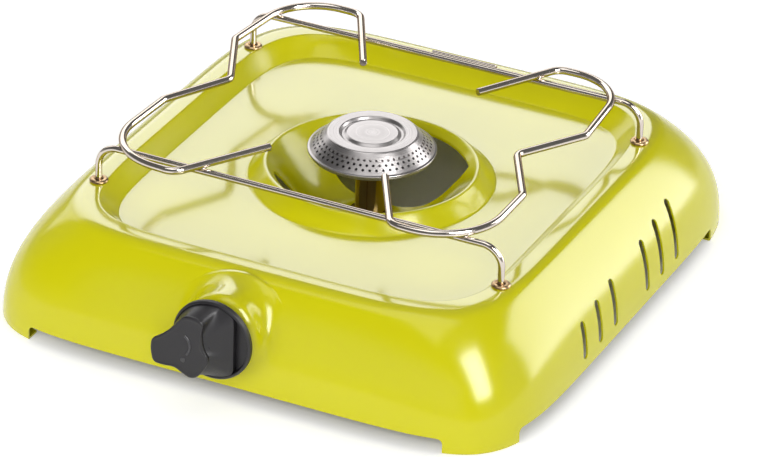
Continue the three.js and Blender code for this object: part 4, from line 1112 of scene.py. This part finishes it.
# Knob
def grip_outline():
    """The face's outline through its corners, evenly spaced, as offsets from the knob's axis."""
    stops = np.array(GRIP_FACE_SHARES) * KNOB_RADIUS
    fine = []
    for k in range(len(stops)):
        near = [stops[(k + i) % len(stops)] for i in (-1, 0, 1, 2)]
        fine += [splined(*near, s) for s in np.arange(GRIP_STEPS) / GRIP_STEPS]
    fine = np.array(fine)
    steps = np.linalg.norm(np.roll(fine, -1, axis=0) - fine, axis=1)
    length = np.concatenate([[0], np.cumsum(steps)])
    closed = np.vstack([fine, fine[:1]])
    even = np.arange(KNOB_POINTS) / KNOB_POINTS * length[-1]
    return np.stack([np.interp(even, length, closed[:, i]) for i in range(2)], axis=1)


def grip_foot(rays, heart):
    """How far the grip's foot reaches along rays from its heart: a round cut off by a flat."""
    along = -(rays @ heart)
    reach = along + np.sqrt(along ** 2 - heart @ heart + KNOB_GRIP_RADIUS ** 2)
    least = 1e-6
    side = np.where(rays[:, 0] > least, (KNOB_GRIP_SIDE - heart[0]) / np.maximum(rays[:, 0], least), 1.0)
    sharpness = 2 / MM
    return -np.log(np.exp(-reach * sharpness) + np.exp(-side * sharpness)) / sharpness


def grip_rings():
    face = grip_outline()
    heart = np.array([KNOB_RADIUS * GRIP_HEART_SHARE, 0.0])
    rays = face - heart
    rays = rays / np.linalg.norm(rays, axis=1, keepdims=True)
    footing = heart + rays * grip_foot(rays, heart)[:, None]
    rim_z, front = KNOB_GAP + KNOB_RIM, KNOB_GAP + KNOB_DEPTH
    high = front - 2.2 * MM

    def raised(points, z, inset=0.0):
        spoke = points - heart
        length = np.linalg.norm(spoke, axis=1, keepdims=True)
        flat = heart + spoke * (1 - inset / length)
        return np.column_stack([flat, np.full(len(flat), z)])

    rings = [raised(footing, z) for z in (rim_z - KNOB_RECESS - 0.3 * MM, rim_z - 1 * MM, rim_z)]
    for share in np.linspace(0, 1, GRIP_RINGS + 1)[1:]:
        ease = share ** GRIP_EASE
        blend = footing * (1 - ease) + face * ease
        rings.append(raised(blend, rim_z + (high - rim_z) * share, GRIP_DRAFT * share))
    return rings + [raised(face, front - back, inset) for inset, back in GRIP_EDGE]


def knob():
    back, front = KNOB_GAP, KNOB_GAP + KNOB_RIM
    recess_z, inner = front - KNOB_RECESS, KNOB_RADIUS - KNOB_RIM_WIDTH
    disc = as_object("knob_moulded", facing_front(lathe([
        (0, back, 0), (KNOB_RADIUS - 0.6 * MM, back, 0.5 * MM), (KNOB_RADIUS, back + 1.2 * MM, 0.6 * MM),
        (KNOB_RADIUS, front - 0.6 * MM, 0.7 * MM), (KNOB_RADIUS - 0.8 * MM, front, 0.5 * MM),
        (inner, front, 0.4 * MM), (inner - 0.4 * MM, recess_z, 0.3 * MM), (0, recess_z, 0),
    ], TURNED)))
    boolean(disc, facing_front(loft(grip_rings())), "UNION")
    boolean(disc, facing_front(cylinder(KNOB_HOLLOW, back - 2 * MM, back + KNOB_HOLLOW_DEPTH, MIDDLE)))
    boolean(disc, facing_front(cylinder(KNOB_BORE, back, KNOB_BORE_END, SMALL)))
    finished(disc, "knob_plastic", "tap_stem", ("knob",), sharp=KNOB_SHARP)
    marks(KNOB_GAP + KNOB_DEPTH)


def marks(front):
    """A raised crescent and dot on the grip's face, as a generic pointer."""
    path = [(MARK_CENTRE[0] + MARK_WIDE * math.cos(t), MARK_CENTRE[1] + MARK_TALL * math.sin(t),
             front - MARK_SUNK) for t in np.linspace(MARK_START, MARK_END, MARK_STEPS + 1)]
    crescent = swept(path, MARK_RADIUS, MARK_SIDES)
    low, high = front - DOT_LOW, front - DOT_HIGH
    dot = lathe([(0, low, 0), (DOT_RADIUS, low, 0.2 * MM), (DOT_RADIUS, high, 0.5 * MM), (0, high, 0)], TINY)
    dot = moved(dot, Matrix.Translation(DOT_PLACE))
    made = as_object("knob_marks", facing_front(joined([crescent, dot])))
    finished(made, "knob_plastic", "tap_stem", look=lighter_mark_look())


# Inlet and pipes
def inlet():
    """The union through the sheet, with a hexagon and a barbed hose nozzle."""
    low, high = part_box("inlet_union")
    front, end = low.y - INLET_FACE, high.y - INLET_FACE
    neck, pitch = HEX_LOW + 0.3 * MM, (end - HEX_HIGH) / BARBS
    profile = [(NOZZLE_BORE, front), (NOZZLE_THREAD - 0.3 * MM, front), (NOZZLE_THREAD, front + 0.5 * MM),
               (NOZZLE_THREAD, neck), (NOZZLE_ROOT, neck), (NOZZLE_ROOT, HEX_HIGH)]
    for i in range(BARBS):
        for radius, share in zip((NOZZLE_ROOT, NOZZLE_BARB, NOZZLE_ROOT), BARB_SHARES):
            profile.append((radius, HEX_HIGH + pitch * (i + share)))
    profile += [(NOZZLE_ROOT - 0.2 * MM, end), (NOZZLE_BORE, end), (NOZZLE_BORE, front)]
    union = as_object("inlet_nozzle", facing_back(turned(profile, FINE)))
    boolean(union, facing_back(hexagon(HEX_FLAT, HEX_BORE, HEX_LOW, HEX_HIGH)), "UNION")
    finished(union, "brass", "stove", ("inlet_union",))


def hexagon(flat, bore, low, high):
    """A bored hexagon with its corners turned down at both faces."""
    reach = flat / math.sqrt(3)
    turn = np.arange(HEX_POINTS) / HEX_POINTS * 2 * math.pi
    whole = np.minimum(flat / 2 / np.cos((turn % (math.pi / 3)) - math.pi / 6), reach)
    cut_radius = flat / 2 * HEX_CAP_SHARE + (reach - flat / 2) * HEX_CORNER_SHARE
    cut = np.minimum(whole, cut_radius)
    levels = ((cut, low), (whole, low + HEX_CHAMFER), (whole, high - HEX_CHAMFER), (cut, high),
              (np.full(HEX_POINTS, bore), high), (np.full(HEX_POINTS, bore), low))
    rings = [np.stack([radius * np.cos(turn), radius * np.sin(turn), np.full(HEX_POINTS, z)], axis=1)
             for radius, z in levels]
    return loft(rings, torus=True)


def pipe(name, path, radius, bore):
    made = as_object(name + "_drawn", swept(path, radius, bore=bore))
    finished(made, "copper_pipe", "stove", (name,))


def pipes():
    low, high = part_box("feed_pipe")
    port_y = low.y + FEED_RADIUS
    corners = [(TAP_X, port_y, high.z), (TAP_X, port_y, FEED_LOW), (0, high.y - FEED_RISE, FEED_LOW),
               (0, high.y, FEED_LOW)]
    pipe("feed_pipe", bent(corners, [FEED_BEND, FEED_BEND]), FEED_RADIUS, FEED_BORE)
    low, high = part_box("supply_pipe")
    corners = [(low.x, port_y, TAP_Z), (INLET_X, port_y, TAP_Z), (INLET_X, high.y - SUPPLY_RUN, INLET_Z),
               (INLET_X, high.y, INLET_Z)]
    pipe("supply_pipe", bent(corners, [SUPPLY_BEND, SUPPLY_BEND]), SUPPLY_RADIUS, SUPPLY_BORE)


def dress_solids():
    """The remaining solids keep their shapes and get the same looks."""
    slots = {part["node"]: part["material_slot"] for part in frame["record"]["subparts"]}
    for name, solid in frame["nodes"].items():
        solid.data.materials.clear()
        solid.data.materials.append(LOOKS[slots[name]])


# Camera, floor and light
def camera():
    back = Vector(towards(180 - CAMERA_AZIMUTH, CAMERA_ELEVATION))
    level = Vector((-back.y, back.x, 0.0)).normalized()
    upward = back.cross(level)
    roll = math.radians(CAMERA_ROLL)
    right = level * math.cos(roll) + upward * math.sin(roll)
    up = upward * math.cos(roll) - level * math.sin(roll)
    data = bpy.data.cameras.new("camera")
    data.sensor_fit = "HORIZONTAL"
    data.sensor_width = SENSOR
    data.lens = LENS
    data.clip_end = VIEW_END
    made = bpy.data.objects.new("camera", data)
    turn = Matrix((right, up, back)).transposed().to_4x4()
    made.matrix_world = Matrix.Translation(CAMERA_PLACE) @ turn
    bpy.context.scene.collection.objects.link(made)
    bpy.context.scene.camera = made


def floor():
    """A pale floor, which shows white to the camera and in gloss away from the stove; its glow fades out
    near and under the stove, which is painted shade there.
    """
    corners = [(x * FLOOR_HALF, y * FLOOR_HALF, 0) for x, y in ((-1, -1), (1, -1), (1, 1), (-1, 1))]
    made = as_object("floor", (corners, [(0, 1, 2, 3)]))
    made.location.z = -FLOOR_DROP
    look = Look("floor", (0.86, 0.86, 0.86), 0.9, 0.0)
    look.shader["Specular IOR Level"].default_value = 0.1
    path = look.add("LightPath", {}).outputs
    shown = look.math("MAXIMUM", path["Is Camera Ray"], path["Is Glossy Ray"])
    shown = look.math("MAXIMUM", shown, path["Is Transmission Ray"])
    scaled = look.axes(look.place((1 / HEM_X, 1 / HEM_Y, 1.0)))
    powers = [look.math("POWER", look.math("ABSOLUTE", scaled[axis]), LIFT_POWER) for axis in ("X", "Y")]
    # The glow is cut away under and round the base, so the floor there is darker. This is painted shade
    # under the stove, seen through its windows and in the gloss of its lower skirt.
    lift = look.ranged(look.math("ADD", *powers), LIFT_START, LIFT_END, 0.0, FLOOR_LIFT)
    look.shader["Emission Color"].default_value = (1, 1, 1, 1)
    look.feed(look.shader["Emission Strength"], look.math("MULTIPLY", shown, lift))
    made.data.materials.append(look.owner)


def towards(azimuth, elevation):
    """A direction by degrees clockwise from the back, seen from above, and degrees above level."""
    a, e = math.radians(azimuth), math.radians(elevation)
    return math.sin(a) * math.cos(e), math.cos(a) * math.cos(e), math.sin(e)


def softbox(name, azimuth, elevation, width, height, radiance, glossy,
            distance=LAMP_DISTANCE, aim=LAMP_AIM):
    """A lamp that shows in gloss only, or one that lights the matt share of surfaces only."""
    direction = Vector(towards(azimuth, elevation))
    data = bpy.data.lights.new(name, "AREA")
    data.shape = "RECTANGLE"
    data.size, data.size_y = width, height
    data.energy = radiance * math.pi * width * height
    made = bpy.data.objects.new(name, data)
    made.location = Vector(aim) + direction * distance
    made.rotation_euler = direction.to_track_quat("Z", "Y").to_euler()
    made.visible_camera = False
    made.visible_glossy = glossy
    made.visible_diffuse = not glossy
    bpy.context.scene.collection.objects.link(made)


def lights():
    softbox("back_box", -44, 27, 2.5, 1.25, 2.15, True)
    softbox("right_box", 43, 17, 0.52, 0.62, 5.4, True, distance=0.8, aim=(0.1, 0.0, 0.04))
    softbox("right_fill", 60, 20, 2.0, 1.2, 2.1, False)
    softbox("corner_box", 116, 38, 1.0, 1.6, 14.0, True)
    softbox("overhead", 200, 80, 1.5, 1.5, 1.8, True)
    softbox("front_fill", 180, 24, 2.8, 1.5, 3.3, False)
    softbox("side_fill", 95, 12, 2.2, 1.2, 1.25, False)
    softbox("left_fill", -70, 25, 2.2, 1.2, 1.5, False)
    softbox("top_fill", 0, 75, 2.2, 2.2, 0.8, False)


def studio():
    """The world: walls that are pale near the floor, under a darker ceiling."""
    world = bpy.data.worlds.new("studio")
    tree = Tree(world)
    background = tree.nodes["Background"].inputs
    background["Color"].default_value = (1, 1, 1, 1)
    height = tree.axes(tree.add("TexCoord", {}).outputs["Generated"])["Z"]
    strength = tree.ranged(height, WALL_LOW, WALL_HIGH, WALL_LIGHT, CEILING_LIGHT)
    tree.feed(background["Strength"], strength)
    bpy.context.scene.world = world


dress_solids()
base_shell()
bosses()
wires()
sockets()
burner_cap()
burner_cup()
mixing_tube()
knob()
inlet()
pipes()
camera()
floor()
lights()
studio()
bpy.context.scene.view_settings.view_transform = "Standard"
